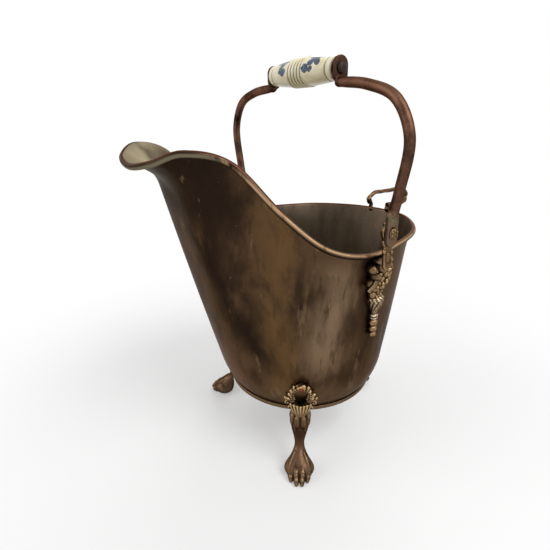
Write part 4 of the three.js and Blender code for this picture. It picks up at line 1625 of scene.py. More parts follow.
    def settled(self, form: Form, sink: float = 0.35) -> Form:
        """Move what lies deeper than the wall's outside out to it.

        Args:
            form: A casting that sits on the wall.
            sink: How far it may bed into the sheet.

        Returns:
            The same form, changed.
        """
        turns, rows, deepest = 360, 160, 25
        heights = np.linspace(self.base_height, self.rim_height - 2, rows)
        if self._reach is None:
            angles = np.linspace(-math.pi, math.pi, turns + 1)
            rims = np.vstack([self.rim_point(self.rim_share(a)) for a in angles])
            lines = self.lines(angles, rims)
            self._reach = np.stack([np.interp(heights, line[:, 1], line[:, 0]) for line in lines])
        x, y, z = form.points.T
        turn = (np.arctan2(x, -y) + math.pi) / (2 * math.pi) * turns
        rise = np.clip((z - heights[0]) / (heights[-1] - heights[0]) * (rows - 1), 0, rows - 1.001)
        i, j = np.clip(turn.astype(int), 0, turns - 1), rise.astype(int)
        u, v, r = turn - i, rise - j, self._reach
        low = r[i, j] * (1 - u) + r[i + 1, j] * u
        high = r[i, j + 1] * (1 - u) + r[i + 1, j + 1] * u
        reach = low * (1 - v) + high * v + self.sheet / 2
        bottom = self.base_height - self.seat - self.sheet
        band = (z > bottom) & (z < self.base_height + self.band_height)
        reach = np.where(band, self.base_radius + self.seat + self.sheet, reach) - sink
        covered = (z > bottom) & (z < self.rim_height - 3)
        own = np.hypot(x, y)
        push = np.where(covered & (own < reach) & (own > reach - deepest), reach / np.maximum(own, 1), 1)
        form.points[:, 0] *= push
        form.points[:, 1] *= push
        return form


# ---- feet


@dataclass
class PawFeet:
    """Three cast paw feet, each with a palmette and an openwork crest on the wall."""

    bucket: Bucket
    front_angle: float = math.radians(54)
    paw_reach: float = 113.5
    crest_height: float = 90.0
    rivet_drop: float = 12.0
    flower: float = 23.0
    toes: int = 4
    toe_spread: float = 24.5
    toe_reach: float = 12.6
    toe_bow: float = 40.0
    ribs: int = 7
    arch_foot: float = 8.5
    arch_leaves: int = 10
    arch_beads: int = 17
    petals: int = 6
    grain: float = 0.5

    def leg(self) -> list[Form]:
        """Leg and paw with the spout's side as their front.

        Each knot is a height, the distance from the base's axis, and the half width across and outwards.

        Returns:
            The overlapping forms.
        """
        knots = [
            (0, 110.6, 10.4, 9.6), (1.4, 111, 12.6, 11.0), (4.5, 111.5, 15.0, 12.2),
            (8, 111.4, 16.6, 12.4), (11, 110.9, 16.2, 11.9), (15, 109.5, 13.8, 10.4),
            (19, 107.2, 10.7, 8.6), (23, 103.8, 8.0, 7.1), (27, 99.6, 5.9, 5.9),
            (31, 97.0, 5.4, 5.4), (38, 95.7, 6.4, 5.6), (45.5, 95.2, 8.3, 6.2),
            (53, 95.1, 9.8, 6.7), (60.5, 95.0, 11.0, 7.0), (66, 94.8, 11.8, 7.0),
            (70.5, 95.2, 11.6, 6.6), (74.5, 96.4, 10.2, 5.4), (78, 97.2, 7.6, 3.6),
        ]
        line, sides = spline(knots, 90), 40
        a = np.arange(sides) * 2 * math.pi / sides
        rings = np.stack(
            [
                np.outer(line[:, 2], np.cos(a)),
                -line[:, 1:2] + np.outer(line[:, 3], np.sin(a)),
                np.repeat(line[:, :1], sides, 1),
            ],
            -1,
        )
        forms = [skin(rings)]
        for i in range(self.toes):
            share = (i - (self.toes - 1) / 2) / self.toes
            x, reach = self.toe_spread * share, self.paw_reach + self.toe_reach - self.toe_bow * share**2
            forms.append(egg((x * 1.12, -reach + 6.2, 7.2), (3.9, 7.2, 6.2)))
            forms.append(egg((x, -reach + 0.6, 4.6), (3.3, 5.2, 4.7)))
            forms.append(egg((x * 0.97, -reach - 2.8, 2.9), (2.4, 3.2, 2.8)))
            ridge = spline([(x * 1.12, -reach + 4.0, 10.5), (x * 0.9, -112, 17.5), (x * 0.45, -105, 25)], 12)
            forms.append(tube(ridge, lambda t: 3.2 - 1.7 * t, 12))
        for side in (-1, 1):
            forms.append(egg((side * 3.6, -101.4, 62), (3.4, 2.6, 8.5)))
            forms.append(egg((side * 8.4, -98.8, 64), (2.9, 3.0, 9.0)))
            vein = spline([(side * 2.0, -102.6, 68), (side * 6.3, -101.9, 60), (side * 5.4, -100.9, 50)], 10)
            forms.append(tube(vein, lambda t: 0.9, 8))
        for i in range(self.ribs):
            k = i - self.ribs // 2
            rib = spline(
                [
                    (k * 3.8, -101.4 + 0.35 * k * k, 83.5 + 0.5 * abs(k)),
                    (k * 2.7, -103.8 + 0.3 * k * k, 78.0), (k * 0.8, -103.4, 71.0),
                ],
                14,
            )
            forms.append(tube(rib, lambda t: 1.5 - 0.5 * t, 8))
        return forms

    def crest(self, beads: NodeTree) -> list[Form]:
        """Openwork crest of an arch, leaves, a flower and scrolls in the wall's frame.

        Args:
            beads: Tree that strings beads along a curve.

        Returns:
            The overlapping forms.
        """

        def arc(radius: float, out: float, low: float = -38, high: float = 218) -> Array:
            """Points of an arch over the opening."""
            a = np.radians(np.linspace(low, high, 40))
            return np.stack([radius * np.cos(a), self.arch_foot + 1.5 * radius * np.sin(a), a * 0 + out], -1)

        def ring(turn: Array, middle: tuple[float, float], size: Union[float, Array], out: float) -> Array:
            """Points of a ring or curl on the right-hand side."""
            x, y = middle
            return np.stack([x + size * np.cos(turn), y + size * np.sin(turn), turn * 0 + out], -1)

        curl, drop = (13.6, -2.6), (10.6, -8.6)
        forms = [tube(arc(9.9, 0.8), lambda t: 2.7, 10), tube(arc(8.0, 2.6), lambda t: 1.1, 10)]
        string = curve_object(arc(10.4, 3.0))
        forms.append(beads.grow(string, Count=self.arch_beads, Radius=1.25, Growth=0.5))
        for k in range(self.arch_leaves):
            a = math.radians(-16 + 23.6 * k)
            far = 12.2 + 1.3 * math.sin(2.3 * k)
            wide, tall = 1.9 + 0.6 * math.sin(1.7 * k + 1), 3.0 + 0.8 * math.sin(3.1 * k)
            lean = a - math.pi / 2 + (0.7 if math.cos(a) > 0 else -0.7)
            place = (far * math.cos(a), self.arch_foot + 1.36 * far * math.sin(a), 2.4)
            forms.append(egg(place, (wide, tall, 2.2), lean))
        for k in range(self.petals):
            a = 2 * math.pi * (k + 0.5) / self.petals
            forms.append(egg((2.9 * math.cos(a), self.flower + 2.6 * math.sin(a), 3.6), (1.7, 1.7, 1.6)))
        forms.append(egg((0, self.flower, 4.6), (1.5, 1.5, 1.5)))
        turn = np.linspace(0, 2 * math.pi * 1.35, 30)
        shrink = 4.2 - 2.7 * turn / turn[-1]
        for side in (-1, 1):
            flip = (side, 1, 1)
            forms.append(tube(ring(turn + 1.0, curl, shrink, 3.0) * flip, lambda t: 1.6 - 0.5 * t, 10))
            forms.append(egg((side * curl[0], curl[1], 3.2), (1.6, 1.6, 1.8)))
            forms.append(tube(ring(turn, drop, 2.2, 5.6) * flip, lambda t: 1.15, 8))
            forms.append(egg((side * 16.2, 3.6, 2.0), (1.5, 2.8, 1.6), side * -0.5))
            forms.append(egg((side * 9.0, -8.5, 4.0), (3.4, 3.4, 3.6)))
        forms.append(egg((0, -14.5, 5.0), (8.0, 3.6, 4.5)))
        return forms

    def casting(self, angle: float, beads: NodeTree) -> Form:
        """One foot, fused and seated on the wall and the floor.

        Args:
            angle: Plan angle from the spout.
            beads: Tree that strings beads along a curve.

        Returns:
            The casting.
        """
        place = turn_about("Z", angle)
        wall = self.bucket.wall_frame(angle, self.crest_height)
        parts = [form.moved(place) for form in self.leg()] + [form.moved(wall) for form in self.crest(beads)]
        form = self.bucket.settled(fused(parts, self.grain, 2))
        form.points[:, 2] = np.maximum(form.points[:, 2], 0.0)
        return form

    def build(self, dress: Material, beads: NodeTree) -> None:
        """Make the three feet.

        Args:
            dress: Material of the castings.
            beads: Tree that strings beads along a curve.
        """
        right, rear = self.casting(self.front_angle, beads), self.casting(math.pi, beads)
        feet = {
            "front_right": (self.front_angle, right),
            "front_left": (-self.front_angle, right.mirrored()),
            "rear": (math.pi, rear),
        }
        for place, (angle, form) in feet.items():
            wall = self.bucket.wall_frame(angle, self.crest_height)
            local = (form.points - wall[:3, 3]) @ wall[:3, :3]
            off = np.hypot(local[:, 0], local[:, 1] - self.flower)
            marks = {
                "hollow": hollows(form, 10, 0.5),
                # sheen and wear grow up the foot, so the crest's ridges carry painted highlights
                "gilt": np.clip((form.points[:, 2] - 66) / 12, 0.0, 1.15),
                "spot": np.clip((3.2 - off) / 1.0, 0.0, 1.0) * (local[:, 2] > 2),
            }
            finish_piece(
                f"paw_foot_{place}", form, dress, Body.SCUTTLE, [f"foot_{place}"], None, marks
            )


# ---- side mounts


@dataclass
class SideMounts:
    """Cast eyes with their drops of fruit, and the flower-headed pins that the bail turns on."""

    bucket: Bucket
    pivot_forward: float = 3.1
    pivot_height: float = 276.3
    lean: float = math.radians(6.5)
    behind: float = 1.8
    tab_inside: float = 128.05
    tab_thickness: float = 4.7
    gap: float = 0.3
    lug_thickness: float = 3.6
    eye_radius: float = 6.8
    strap_foot: float = 247.0
    vase_top: float = 209.0
    vase_length: float = 21.5
    vase_radius: float = 7.6
    bead_radii: tuple[float, ...] = (4.3, 3.8, 3.3)
    petals: int = 6
    berries: int = 30
    grain: float = 0.4
    datum: float = 205.0
    wall_slant: float = 1.012
    wall_reach: float = 106.0

    def stand(self, height: float) -> float:
        """Distance up the drop's frame at a height above the floor."""
        return (height - self.datum) * self.wall_slant

    def drop_frame(self) -> Array:
        """Frame of the drop on the right-hand wall, its origin at the datum's height."""
        line = -self.pivot_forward - 0.5 + (self.pivot_height - self.datum) * math.tan(self.lean)
        wall = self.bucket.wall_frame(math.pi / 2 + (line + self.behind) / self.wall_reach, self.datum)
        return wall @ turn_about("Z", self.lean)

    def drop(self, beads: NodeTree) -> list[Form]:
        """Fruit, cap, vase and beads in the drop's frame.

        Args:
            beads: Tree that strings beads along a curve.

        Returns:
            The overlapping forms.
        """

        def up(share: float) -> float:
            """Height between the top of the vase and the foot of the strap."""
            return self.stand(self.vase_top + share * (self.strap_foot - self.vase_top))

        forms = [egg((-0.8, up(0.86), 8), (5.2, 9, 6.5)), egg((0, up(0.5), 2.5), (8.4, 17, 4.6))]
        fruit = [
            (-3.6, 1.0, 10.5, 3.7), (4.4, 1.03, 10.4, 4.0), (-10.2, 0.82, 7.2, 4.8), (-1.2, 0.84, 10.6, 5.2),
            (8.4, 0.87, 9.4, 5.2), (-5.6, 0.62, 9.0, 5.6), (5.4, 0.61, 10.6, 5.8), (14.4, 0.7, 7.4, 5.2),
            (-9.8, 0.42, 5.4, 4.6), (0.6, 0.4, 8.2, 5.2), (10.4, 0.42, 7.6, 5.4), (-4.4, 0.22, 5.0, 4.2),
            (4.8, 0.2, 5.6, 4.6), (16.4, 0.52, 5.4, 4.4), (11.4, 0.24, 4.2, 3.8), (16.0, 0.88, 5.6, 3.8),
        ]
        for i, (x, share, out, size) in enumerate(fruit):
            forms.append(egg((x, up(share), 0.62 * out), (size, size * 0.94, 0.42 * out + 2.6), 0.5 * i))
            forms.append(egg((x + 0.7, up(share) - 0.8, 1.04 * out + 2.2), (1.1, 1.1, 0.9)))
        for k in range(self.berries):
            a = k * math.pi * (3 - math.sqrt(5))
            far = math.sqrt((k + 0.5) / self.berries)
            place = (2.6 + 14.5 * far * math.cos(a), up(0.6) + 17.5 * far * math.sin(a), 12.6 - 6.6 * far**2)
            forms.append(egg(place, (1.9 + 0.5 * math.sin(5 * k), 1.7, 1.7), a))
        leaf = spline([(-5, up(0.58), 8.0), (-10, up(0.44), 8.6), (-15.4, up(0.26), 5.6)], 14)
        forms.append(tube(leaf, lambda t: 3.1 - 0.7 * t, 14, 0.75))
        stem = spline([(4, up(0.95), 10), (9.5, up(0.86), 8), (12.6, up(0.74), 5)], 12)
        forms.append(tube(stem, lambda t: 1.5 - 0.5 * t, 10))
        for side in (-1, 0, 1):
            cap = self.stand(self.vase_top + 3.2) - abs(side)
            forms.append(egg((side * 5.8, cap, 3.4), (3.9, 4.2, 3.8)))
            forms.append(egg((side * 3.2, self.stand(self.vase_top - 1.0), 4.2), (2.6, 3.2, 4.2)))
        upright = turn_about("X", -math.pi / 2)
        upright[:3, 3] = (0, self.stand(self.vase_top), 3)
        r, n = self.vase_radius, self.vase_length
        bowl = [
            (0.4, -n - 1), (2.6, -n - 1), (2.9, -n + 0.5), (3.6, -n + 3.5), (5.2, -n + 7.5),
            (r - 1, -n + 11.5), (r, -5.5), (r + 0.1, -3.2), (r - 0.6, -1.6), (5.6, -0.4), (0.4, 0),
        ]
        forms.append(turned(bowl, 80, (11, 0.15, 0.09), closed=False).moved(upright))
        collar = [
            (0.4, -n - 7.4), (2.2, -n - 7.2), (4.0, -n - 6.4), (4.5, -n - 5.2), (3.7, -n - 4.3),
            (3.7, -n - 3.5), (4.5, -n - 2.7), (4.3, -n - 1.5), (3.2, -n - 0.6), (0.4, -n - 0.4),
        ]
        forms.append(turned(collar, 40, closed=False).moved(upright))
        down = -n - 7.0
        for radius in self.bead_radii:
            middle = self.stand(self.vase_top) + down - radius
            string = np.array([(side * 0.35 * radius, middle, 3.2) for side in (-1, 1)])
            forms.append(beads.grow(curve_object(string), Count=2, Radius=radius * 0.93, Length=0.95))
            forms.append(egg((0, middle, 4.2), (radius * 0.95, radius * 0.9, radius * 0.85)))
            down -= 1.95 * radius
        return forms

    def eye(self) -> list[Form]:
        """Eye round the pin and the strap down to the fruit.

        Returns:
            The overlapping forms.
        """
        out = self.tab_inside - self.gap
        low = out - self.lug_thickness
        hang = turn_about("X", self.lean)
        hang[:3, 3] = (0, -self.pivot_forward, self.pivot_height)
        strap = slab(strip(0, self.strap_foot - self.pivot_height - 7, 6.4, 5.0), low, out, 0.9)
        turn = np.linspace(0, 2 * math.pi, 41)[:-1]
        ring = [(self.eye_radius * math.cos(a), self.eye_radius * math.sin(a)) for a in turn]
        forms = [slate.moved(STAND_UP).moved(hang) for slate in (strap, slab(ring, low, out, 0.9))]
        for side, height, size in [(-1, -9.5, 2.2), (1, -12, 1.9), (-1, -17.5, 1.7), (1, -20, 2.1)]:
            forms.append(egg((out - 1.2, side * 4.4, height), (2.2, size, size * 1.3)).moved(hang))
        forms.append(egg((out - 0.2, 0, -24), (1.6, 3.2, 5)).moved(hang))
        return forms

    def pin(self, beads: NodeTree) -> Form:
        """Pin with its flower head, on the right-hand side.

        Args:
            beads: Tree that strings beads along a curve.

        Returns:
            The fused pin.
        """
        back = self.tab_inside - self.gap - self.lug_thickness - self.gap
        face = self.tab_inside + self.tab_thickness + self.gap
        along = turn_about("Y", math.pi / 2)
        along[:3, 3] = (0, -self.pivot_forward, self.pivot_height)
        stem = [
            (0.3, back - 2), (3.2, back - 2), (4.3, back - 0.6), (4.3, back), (2.8, back), (2.8, face),
            (5.0, face), (5.3, face + 0.5), (4.6, face + 1.2), (0.3, face + 1.3),
        ]
        forms = [turned(stem, 40, closed=False)]
        a = np.linspace(0, 2 * math.pi, 49)
        circle = np.stack([3.0 * np.cos(a), 3.0 * np.sin(a), a * 0 + face + 0.75], -1)[:-1]
        forms.append(beads.grow(curve_object(circle, closed=True), Count=self.petals, Radius=1.75))
        forms.append(egg((0, 0, face + 1.4), (2.0, 2.0, 1.2)))
        return fused([form.moved(along) for form in forms], 0.25, 1)

    def build(self, dress: Material, beads: NodeTree) -> None:
        """Make both mounts and both pins.

        Args:
            dress: Material of the castings.
            beads: Tree that strings beads along a curve.
        """
        place = self.drop_frame()
        parts = [form.moved(place) for form in self.drop(beads)] + self.eye()
        mount = self.bucket.settled(fused(parts, self.grain, 1))
        pin = self.pin(beads)
        local = (mount.points - place[:3, 3]) @ place[:3, :3]
        up = local[:, 1]
        top, low = self.stand(self.vase_top) + 1, self.stand(self.vase_top) - self.vase_length - 7.2
        # painted highlight: the vase, and less so the fruit, get a higher sheen mark, which lays painted
        # highlights on their ridges
        vase_highlight = np.clip((top - up) / 3, 0, 1) * np.clip((up - low) / 2, 0, 1)
        fruit = np.clip((self.stand(self.strap_foot) + 4 - up) / 6, 0, 1)
        gilt = 0.3 + 0.45 * fruit + 1.35 * vase_highlight
        for side in Side:
            form, head, name = mount.on(side), pin.on(side), side.name.lower()
            marks = {"hollow": hollows(form, 8, 0.45), "gilt": gilt}
            finish_piece(
                f"fruit_mount_{name}", form, dress, Body.SCUTTLE,
                [f"side_mount_{name}"], None, marks,
            )
            marks = {"hollow": hollows(head, 6, 0.3), "gilt": np.full(len(head.points), 0.3)}
            finish_piece(
                f"flower_pin_{name}", head, dress, Body.SCUTTLE,
                [f"pivot_pin_{name}"], None, marks,
            )


# ---- bail and grip


@dataclass
class Bail:
    """Forged bail: two arms with flat tabs and ears, and the bolt through the grip."""

    mounts: SideMounts
    lean: float = math.radians(1.9)
    belly: float = 140.7
    belly_height: float = 356.0
    grip_height: float = 411.4
    grip_behind: float = 4.0
    grip_length: float = 100.0
    rod: float = 9.2
    tab_width: float = 12.4
    tab_low: float = 263.5
    tab_high: float = 297.0
    ear_thickness: float = 3.6
    ear_half: float = 8.2
    ear_drop: float = 14.8
    washer: float = 1.4
    washer_bore: float = 3.1
    washer_radius: float = 8.3
    bolt_radius: float = 2.75
    nut_radius: float = 4.6
    grain: float = 0.55

    def lean_over(self) -> Array:
        """Matrix of the bail's lean about its pivot."""
        return turn_about("X", self.lean, (0, -self.mounts.pivot_forward, self.mounts.pivot_height))

    def grip_place(self) -> Array:
        """Matrix that lays the Z axis along the grip, with the lean."""
        lay = turn_about("Y", math.pi / 2)
        lay[:3, 3] = (0, self.grip_behind - self.mounts.pivot_forward, self.grip_height)
        return self.lean_over() @ lay

    def arm(self, rods: NodeTree) -> Form:
        """Right-hand arm, fused from its rod, tab and ear.

        Args:
            rods: Tree that sweeps a rod along a curve.

        Returns:
            The arm.
        """
        y, top = -self.mounts.pivot_forward, self.grip_height - self.ear_drop
        inside = self.grip_length / 2 + self.washer + 2 * self.mounts.gap
        low, thick = self.mounts.tab_inside, self.mounts.tab_thickness
        foot = low + thick / 2
        knots = [
            (foot, y, 283), (foot + 0.7, y, 294), (foot + 0.48 * (self.belly - foot), y, 313.8),
            (self.belly, y, self.belly_height), (self.belly - 16.7, y, top - 12),
            (self.belly - 48.4, y, top - 0.5),
            (inside + self.ear_thickness / 2, y + 0.4 * self.grip_behind, top + 3.5),
        ]
        path = curve_object(spline(knots, 110))
        rod = rods.grow(path, Radius=self.rod / 2, End_Radius=self.rod * 0.45, Sides=32, Step=2.0)
        tab = slab(strip(y, self.tab_low, self.tab_high, self.tab_width / 2), low, low + thick, 0.9)
        ear = slab(
            strip(y + self.grip_behind, top + 1.8, self.grip_height + 10.6, self.ear_half),
            inside, inside + self.ear_thickness, 0.8,
        )
        neck = egg((foot + 0.3, y, 293), (4.2, 5.1, 9))
        elbow = egg((inside + 3.4, y + 2.4, top + 3.0), (4.0, 5.2, 4.2))
        form = fused([rod, tab.moved(STAND_UP), ear.moved(STAND_UP), neck, elbow], self.grain, 3)
        return form.moved(self.lean_over())

    def build(self, dress: Material, iron: Material, rods: NodeTree) -> None:
        """Make the arms, washers, bolt and nut.

        Args:
            dress: Material of the forged parts.
            iron: Material of the washers and the bolt.
            rods: Tree that sweeps a rod along a curve.
        """
        arm = self.arm(rods)
        place = self.grip_place()
        half, gap = self.grip_length / 2, self.mounts.gap
        outside = half + self.washer + self.ear_thickness + 3 * gap
        bore, edge, near = self.washer_bore, self.washer_radius, half + gap
        far = near + self.washer
        disc = softened([(bore, near), (edge, near), (edge, far), (bore, far)], 0.4)
        washer = turned(disc, 64).moved(place)
        for side in Side:
            name = side.name.lower()
            finish_piece(
                f"forged_arm_{name}", arm.on(side), dress, Body.BAIL,
                [f"bail_arm_{name}"],
            )
            finish_piece(
                f"iron_washer_{name}", washer.on(side), iron, Body.BAIL,
                [f"grip_washer_{name}"], 40,
            )
        end = outside + 3.8
        bolt = [
            (0.4, -end), (2.1, -end), (self.bolt_radius, -end + 0.7), (self.bolt_radius, outside),
            (5.1, outside), (5.2, outside + 1.0), (4.5, outside + 1.9), (2.6, outside + 2.5),
            (0.4, outside + 2.6),
        ]
        finish_piece(
            "grip_bolt_round", turned(bolt, 48, closed=False).moved(place), iron, Body.BAIL,
            ["grip_bolt"], 45,
        )
        wide = self.nut_radius
        hexagon = [(wide * math.cos(a), wide * math.sin(a)) for a in np.arange(6) * math.pi / 3]
        nut = slab(softened(hexagon, 0.5, 2), -outside - 3.0, -outside, 0.4).moved(place)
        finish_piece("grip_nut_hex", nut, dress, Body.BAIL, ["grip_nut"], 40)


@dataclass
class CeramicGrip:
    """Glazed barrel with end collars and ribs round its middle."""

    place: Array
    length: float
    end_radius: float = 9.7
    mid_radius: float = 13.2
    ribs: int = 4
    pitch: float = 5.0
    hole: float = 3.5

    def profile(self) -> tuple[list[tuple[float, float]], list[float]]:
        """Outline of the barrel from end to end.

        Returns:
            Radius and place of each point, and how deep in a groove it lies.
        """
        half, ribbed = self.length / 2, self.ribs * self.pitch / 2
        line, grooves, steps = [], [], 400
        for k in range(steps + 1):
            x = -half + self.length * k / steps
            size = abs(x)
            barrel = self.end_radius + (self.mid_radius - self.end_radius) * math.cos(
                size / half * math.pi / 2
            ) ** 0.8
            radius, groove = barrel, 0.0
            if size > half - 5.6:
                radius = self.end_radius + 0.6 - 0.9 * max(0.0, (size - half + 1.2) / 1.2) ** 2
            elif size > half - 8:
                dip = 1 - abs(size - half + 6.8) / 1.25
                radius = barrel * 0.5 + (self.end_radius + 0.5) * 0.5 - 1.0 * max(0.0, dip)
                groove = max(0.0, dip)
            elif size < ribbed + self.pitch * 0.5:
                wave = -math.cos(x / self.pitch * 2 * math.pi)
                radius = self.mid_radius + 0.1 + 0.6 * (1 - (1 - wave) ** 1.6 / 1.5)
                groove = min(1.0, 1.5 * max(0.0, -wave) ** 2.4)
            line.append((radius, x))
            grooves.append(groove)
        rim = line[0][0] - 0.6
        ends = [[(self.hole, -half), (rim, -half)], [(rim, half), (self.hole, half)]]
        return [*ends[0], *line[1:-1], *ends[1]], [0.0, 0.0, *grooves[1:-1], 0.0, 0.0]

    def build(self, dress: Material) -> None:
        """Make the grip.

        Args:
            dress: Its material.
        """
        line, grooves = self.profile()
        segments = 96
        form = turned(line, segments).moved(self.place)
        marks = {"groove": np.repeat(np.array(grooves), segments)}
        finish_piece(
            "glazed_grip", form, dress, Body.GRIP, ["ceramic_grip"], 60, marks
        )


# ---- rear handle


@dataclass
class ScrollHandle:
    """Cast scroll of twisted bar over the rear rim, with a leaf down the wall."""

    bucket: Bucket
    top: float = 281.5
    front: float = 102.5
    back: float = 170.5
    thin: float = 2.5
    thick: float = 5.2
    plate_width: float = 21.0
    plate_drop: float = 38.0
    twist: float = 7 * math.pi
    grain: float = 0.45

    def build(self, dress: Material) -> None:
        """Make the handle.

        Args:
            dress: Material of the casting.
        """
        rim = self.bucket.rim_point(0.5)[0]
        y, z = rim[1], rim[2]
        knots = [
            (0, y - 3, z + 7.5), (0, y + 12, z + 9), (0, self.back - 1.5, z + 14),
            (0, self.back - 1, self.top - 5.5), (0, self.back - 12, self.top),
            (0, (self.front + y) / 2 + 8, self.top), (0, self.front + 10, self.top - 0.5),
            (0, self.front, self.top - 7), (0, self.front + 4.5, self.top - 12.5),
            (0, self.front + 5.5, self.top - 19),
        ]
        span = self.thick - self.thin
        path = spline(knots, 220)

        def thickness(share: float) -> float:
            """Radius of the bar, thick where it springs from the rim."""
            return self.thin + span * max(0.0, 1 - share / 0.42) ** 0.8

        forms = [
            tube(path, thickness, 30, 0.9, self.twist, (3, 0.16)),
            egg((0, self.front + 5.5, self.top - 20), (2.8, 2.8, 3.1)),
            egg((0, y + 2, z + 4), (6.5, 8, 5.6)),
        ]
        for k in range(2):
            bead = path[int(len(path) * (0.33 + 0.5 * k))]
            forms.append(egg(bead, (self.thin + 2.1, 1.5, self.thin + 2.0)))
        wall = self.bucket.wall_frame(math.pi, z - 12)
        half, low = self.plate_width / 2, -self.plate_drop
        side = spline(
            [
                (0.55 * half, 12, 0), (0.9 * half, 2, 0), (1.0 * half, -6, 0), (0.72 * half, -15, 0),
                (0.6 * half, -20, 0), (0.34 * half, low + 13, 0), (0, low + 10, 0),
            ],
            40,
        )
        outline = [(-p[0], p[1]) for p in side[:-1]] + [(p[0], p[1]) for p in side[::-1]]
        forms.append(slab(outline, -0.4, 3.4, 1.2).moved(wall))
        forms.append(egg((0, 6, 4), (6.2, 12, 5)).moved(wall))
        vein = spline([(0, 4, 5.4), (0, -10, 4.4), (0, low + 12, 3.4)], 16)
        forms.append(tube(vein, lambda t: 1.3 - 0.6 * t, 8).moved(wall))
        for k in range(4):
            for way in (-1, 1):
                start, drop = -2.0 - 5.2 * k, 3.0 + 0.4 * k
                end = (way * half * (0.86 - 0.12 * k), start - drop, 3.1)
                rib = spline([(0, start, 4.2), (way * half * 0.45, start + 0.8, 3.9), end], 10)
                forms.append(tube(rib, lambda t: 0.95 - 0.4 * t, 8).moved(wall))
        form = self.bucket.settled(fused(forms, self.grain, 2))
        marks = {"hollow": hollows(form, 9, 0.5), "gilt": np.full(len(form.points), 0.05)}
        finish_piece(
            "scroll_handle", form, dress, Body.SCUTTLE, ["rear_handle"], None, marks
        )


# ---- rivets


@dataclass
class Fasteners:
    """Rivets of the feet and the rear handle, and the screws of the side mounts."""

    bucket: Bucket
    mounts: SideMounts
    feet: PawFeet
    head_radius: float = 3.3
    head_height: float = 1.5
    foot_stand: float = 6.4
    plate_stand: float = 3.4
    plate_drops: tuple[float, float] = (16.0, 27.0)
    screw_height: float = 233.0

    def spots(self) -> list[tuple[Array, Array, float]]:
        """Place, facing and size of every head.

        Returns:
            The spots.
        """
        made = []
        turns = [self.feet.front_angle, -self.feet.front_angle, math.pi]
        low = self.feet.crest_height - self.feet.rivet_drop
        frames = [(self.bucket.wall_frame(turn, low), self.foot_stand) for turn in turns]
        rim = self.bucket.rim_height - 1
        for down in self.plate_drops:
            frames.append((self.bucket.wall_frame(math.pi, rim - down), self.plate_stand))
        drop = self.mounts.drop_frame()
        for height in (self.screw_height, self.mounts.vase_top - 6):
            right = drop.copy()
            right[:3, 3] += drop[:3, 1] * self.mounts.stand(height)
            left = right.copy()
            left[0] *= -1
            frames += [(right, 0.0), (left, 0.0)]
        for place, reach in frames:
            normal = place[:3, 2]
            made.append((place[:3, 3] - normal * (self.bucket.sheet + 0.02), -normal, 1.0))
            if reach:
                made.append((place[:3, 3] + normal * (reach - 0.3), normal, 0.82))
        return made

    def build(self, dress: Material, heads: NodeTree) -> None:
        """Make all heads in one piece.

        Args:
            dress: Their material.
            heads: Tree that seats a head on each point.
        """
        form = heads.grow(
            points_object(self.spots()), Head_Radius=self.head_radius, Head_Height=self.head_height
        )
        nodes = [f"foot_{place}_rivet" for place in ("front_right", "front_left", "rear")]
        nodes += ["rear_handle_rivet_1", "rear_handle_rivet_2"]
        nodes += [f"side_mount_screw_{side.name.lower()}_{k}" for side in Side for k in (1, 2)]
        count = len(form.points)
        marks = {"hollow": np.full(count, 0.45), "gilt": np.full(count, 0.5)}
        finish_piece("rivet_heads", form, dress, Body.SCUTTLE, nodes, None, marks)


# ---- studio


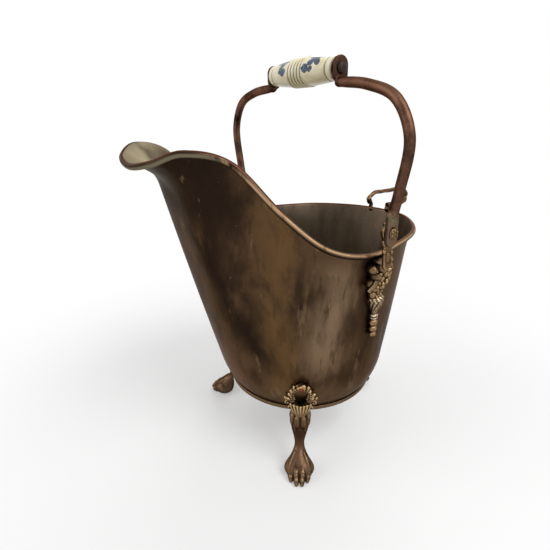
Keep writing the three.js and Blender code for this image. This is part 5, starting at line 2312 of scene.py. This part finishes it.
@dataclass
class Studio:
    """Pale floor, soft lamps and the camera of the photograph."""

    eye: tuple[float, float, float] = (0.3604, -0.26885, 0.3716)
    pitch: float = 68.57
    heading: float = 56.6
    lens: float = 26.58
    floor_width: float = 6000.0
    sky_light: float = 0.55

    def lamp(self, name: str, place: Sequence[float], size: float, power: float, height: float) -> None:
        """Hang a square softbox that faces the middle of the scuttle.

        Args:
            name: Name of the lamp.
            place: Its middle, in metres.
            size: Its side, in metres.
            power: Its power in watts.
            height: Height that it faces, in metres.
        """
        data = bpy.data.lights.new(name, "AREA")
        data.shape, data.size, data.energy = "SQUARE", size, power
        made = linked(name, data)
        made.location = place
        made.rotation_euler = (Vector(place) - Vector((0, 0, height))).to_track_quat("Z", "Y").to_euler()

    def world(self) -> None:
        """Light the scene softly and show white behind it."""
        world = bpy.data.worlds.new("soft_white")
        world.use_nodes = True
        tree = world.node_tree
        sky = tree.nodes["Background"]
        sky.inputs["Color"].default_value = (1, 1, 1, 1)
        level = in_sight(tree) * (1 - self.sky_light) + self.sky_light
        tree.links.new(level.socket, sky.inputs["Strength"])
        bpy.context.scene.world = world

    def build(self, floor: Material) -> None:
        """Set up floor, lamps, world and camera.

        Args:
            floor: Material of the floor.
        """
        half = self.floor_width / 2
        sheet = slab([(-half, -half), (half, -half), (half, half), (-half, half)], -20, -0.02, 5)
        ground = raw_object("studio_floor", Form(sheet.points * MM, sheet.faces))
        ground.data.materials.append(floor)
        self.lamp("key", (1.1, 0.25, 1.5), 1.0, 16, 0.15)
        self.lamp("fill", (-0.6, -1.5, 1.1), 1.2, 9, 0.15)
        self.lamp("back", (-1.0, 1.2, 1.3), 1.0, 7, 0.2)
        self.world()
        data = bpy.data.cameras.new("photo_view")
        data.lens, data.sensor_width = self.lens, 36.0
        data.clip_start, data.clip_end = 0.01, 50
        camera = linked("photo_view", data)
        camera.location = self.eye
        camera.rotation_euler = (math.radians(self.pitch), 0, math.radians(self.heading))
        bpy.context.scene.camera = camera


def main() -> None:
    """Build the scuttle and its studio, and report each piece."""
    logging.basicConfig(level=logging.INFO, format="%(message)s")
    bpy.context.scene.view_settings.view_transform = "Standard"
    sheet_brass = PatinatedBrass().make()
    cast_brass = CastBrass().make()
    rivet_brass = CastBrass(name="rivet_brass", roughness=0.36).make()
    rod_copper = CopperRod().make()
    iron = DarkIron().make()
    Studio().build(StudioFloor().make())

    rods, beads, heads = rod_tree(rod_copper), bead_tree(cast_brass), head_tree(rivet_brass)
    bucket = Bucket()
    bucket.build(sheet_brass, iron)
    feet = PawFeet(bucket)
    feet.build(cast_brass, beads)
    mounts = SideMounts(bucket)
    mounts.build(cast_brass, beads)
    bail = Bail(mounts)
    bail.build(rod_copper, iron, rods)
    place = bail.grip_place()
    axis = place[:3, 3]
    ceramic = PaintedCeramic(axis_y=float(axis[1]), axis_z=float(axis[2])).make()
    CeramicGrip(place, bail.grip_length).build(ceramic)
    ScrollHandle(bucket).build(cast_brass)
    Fasteners(bucket, mounts, feet).build(rivet_brass, heads)


if __name__ == "__main__":
    main()
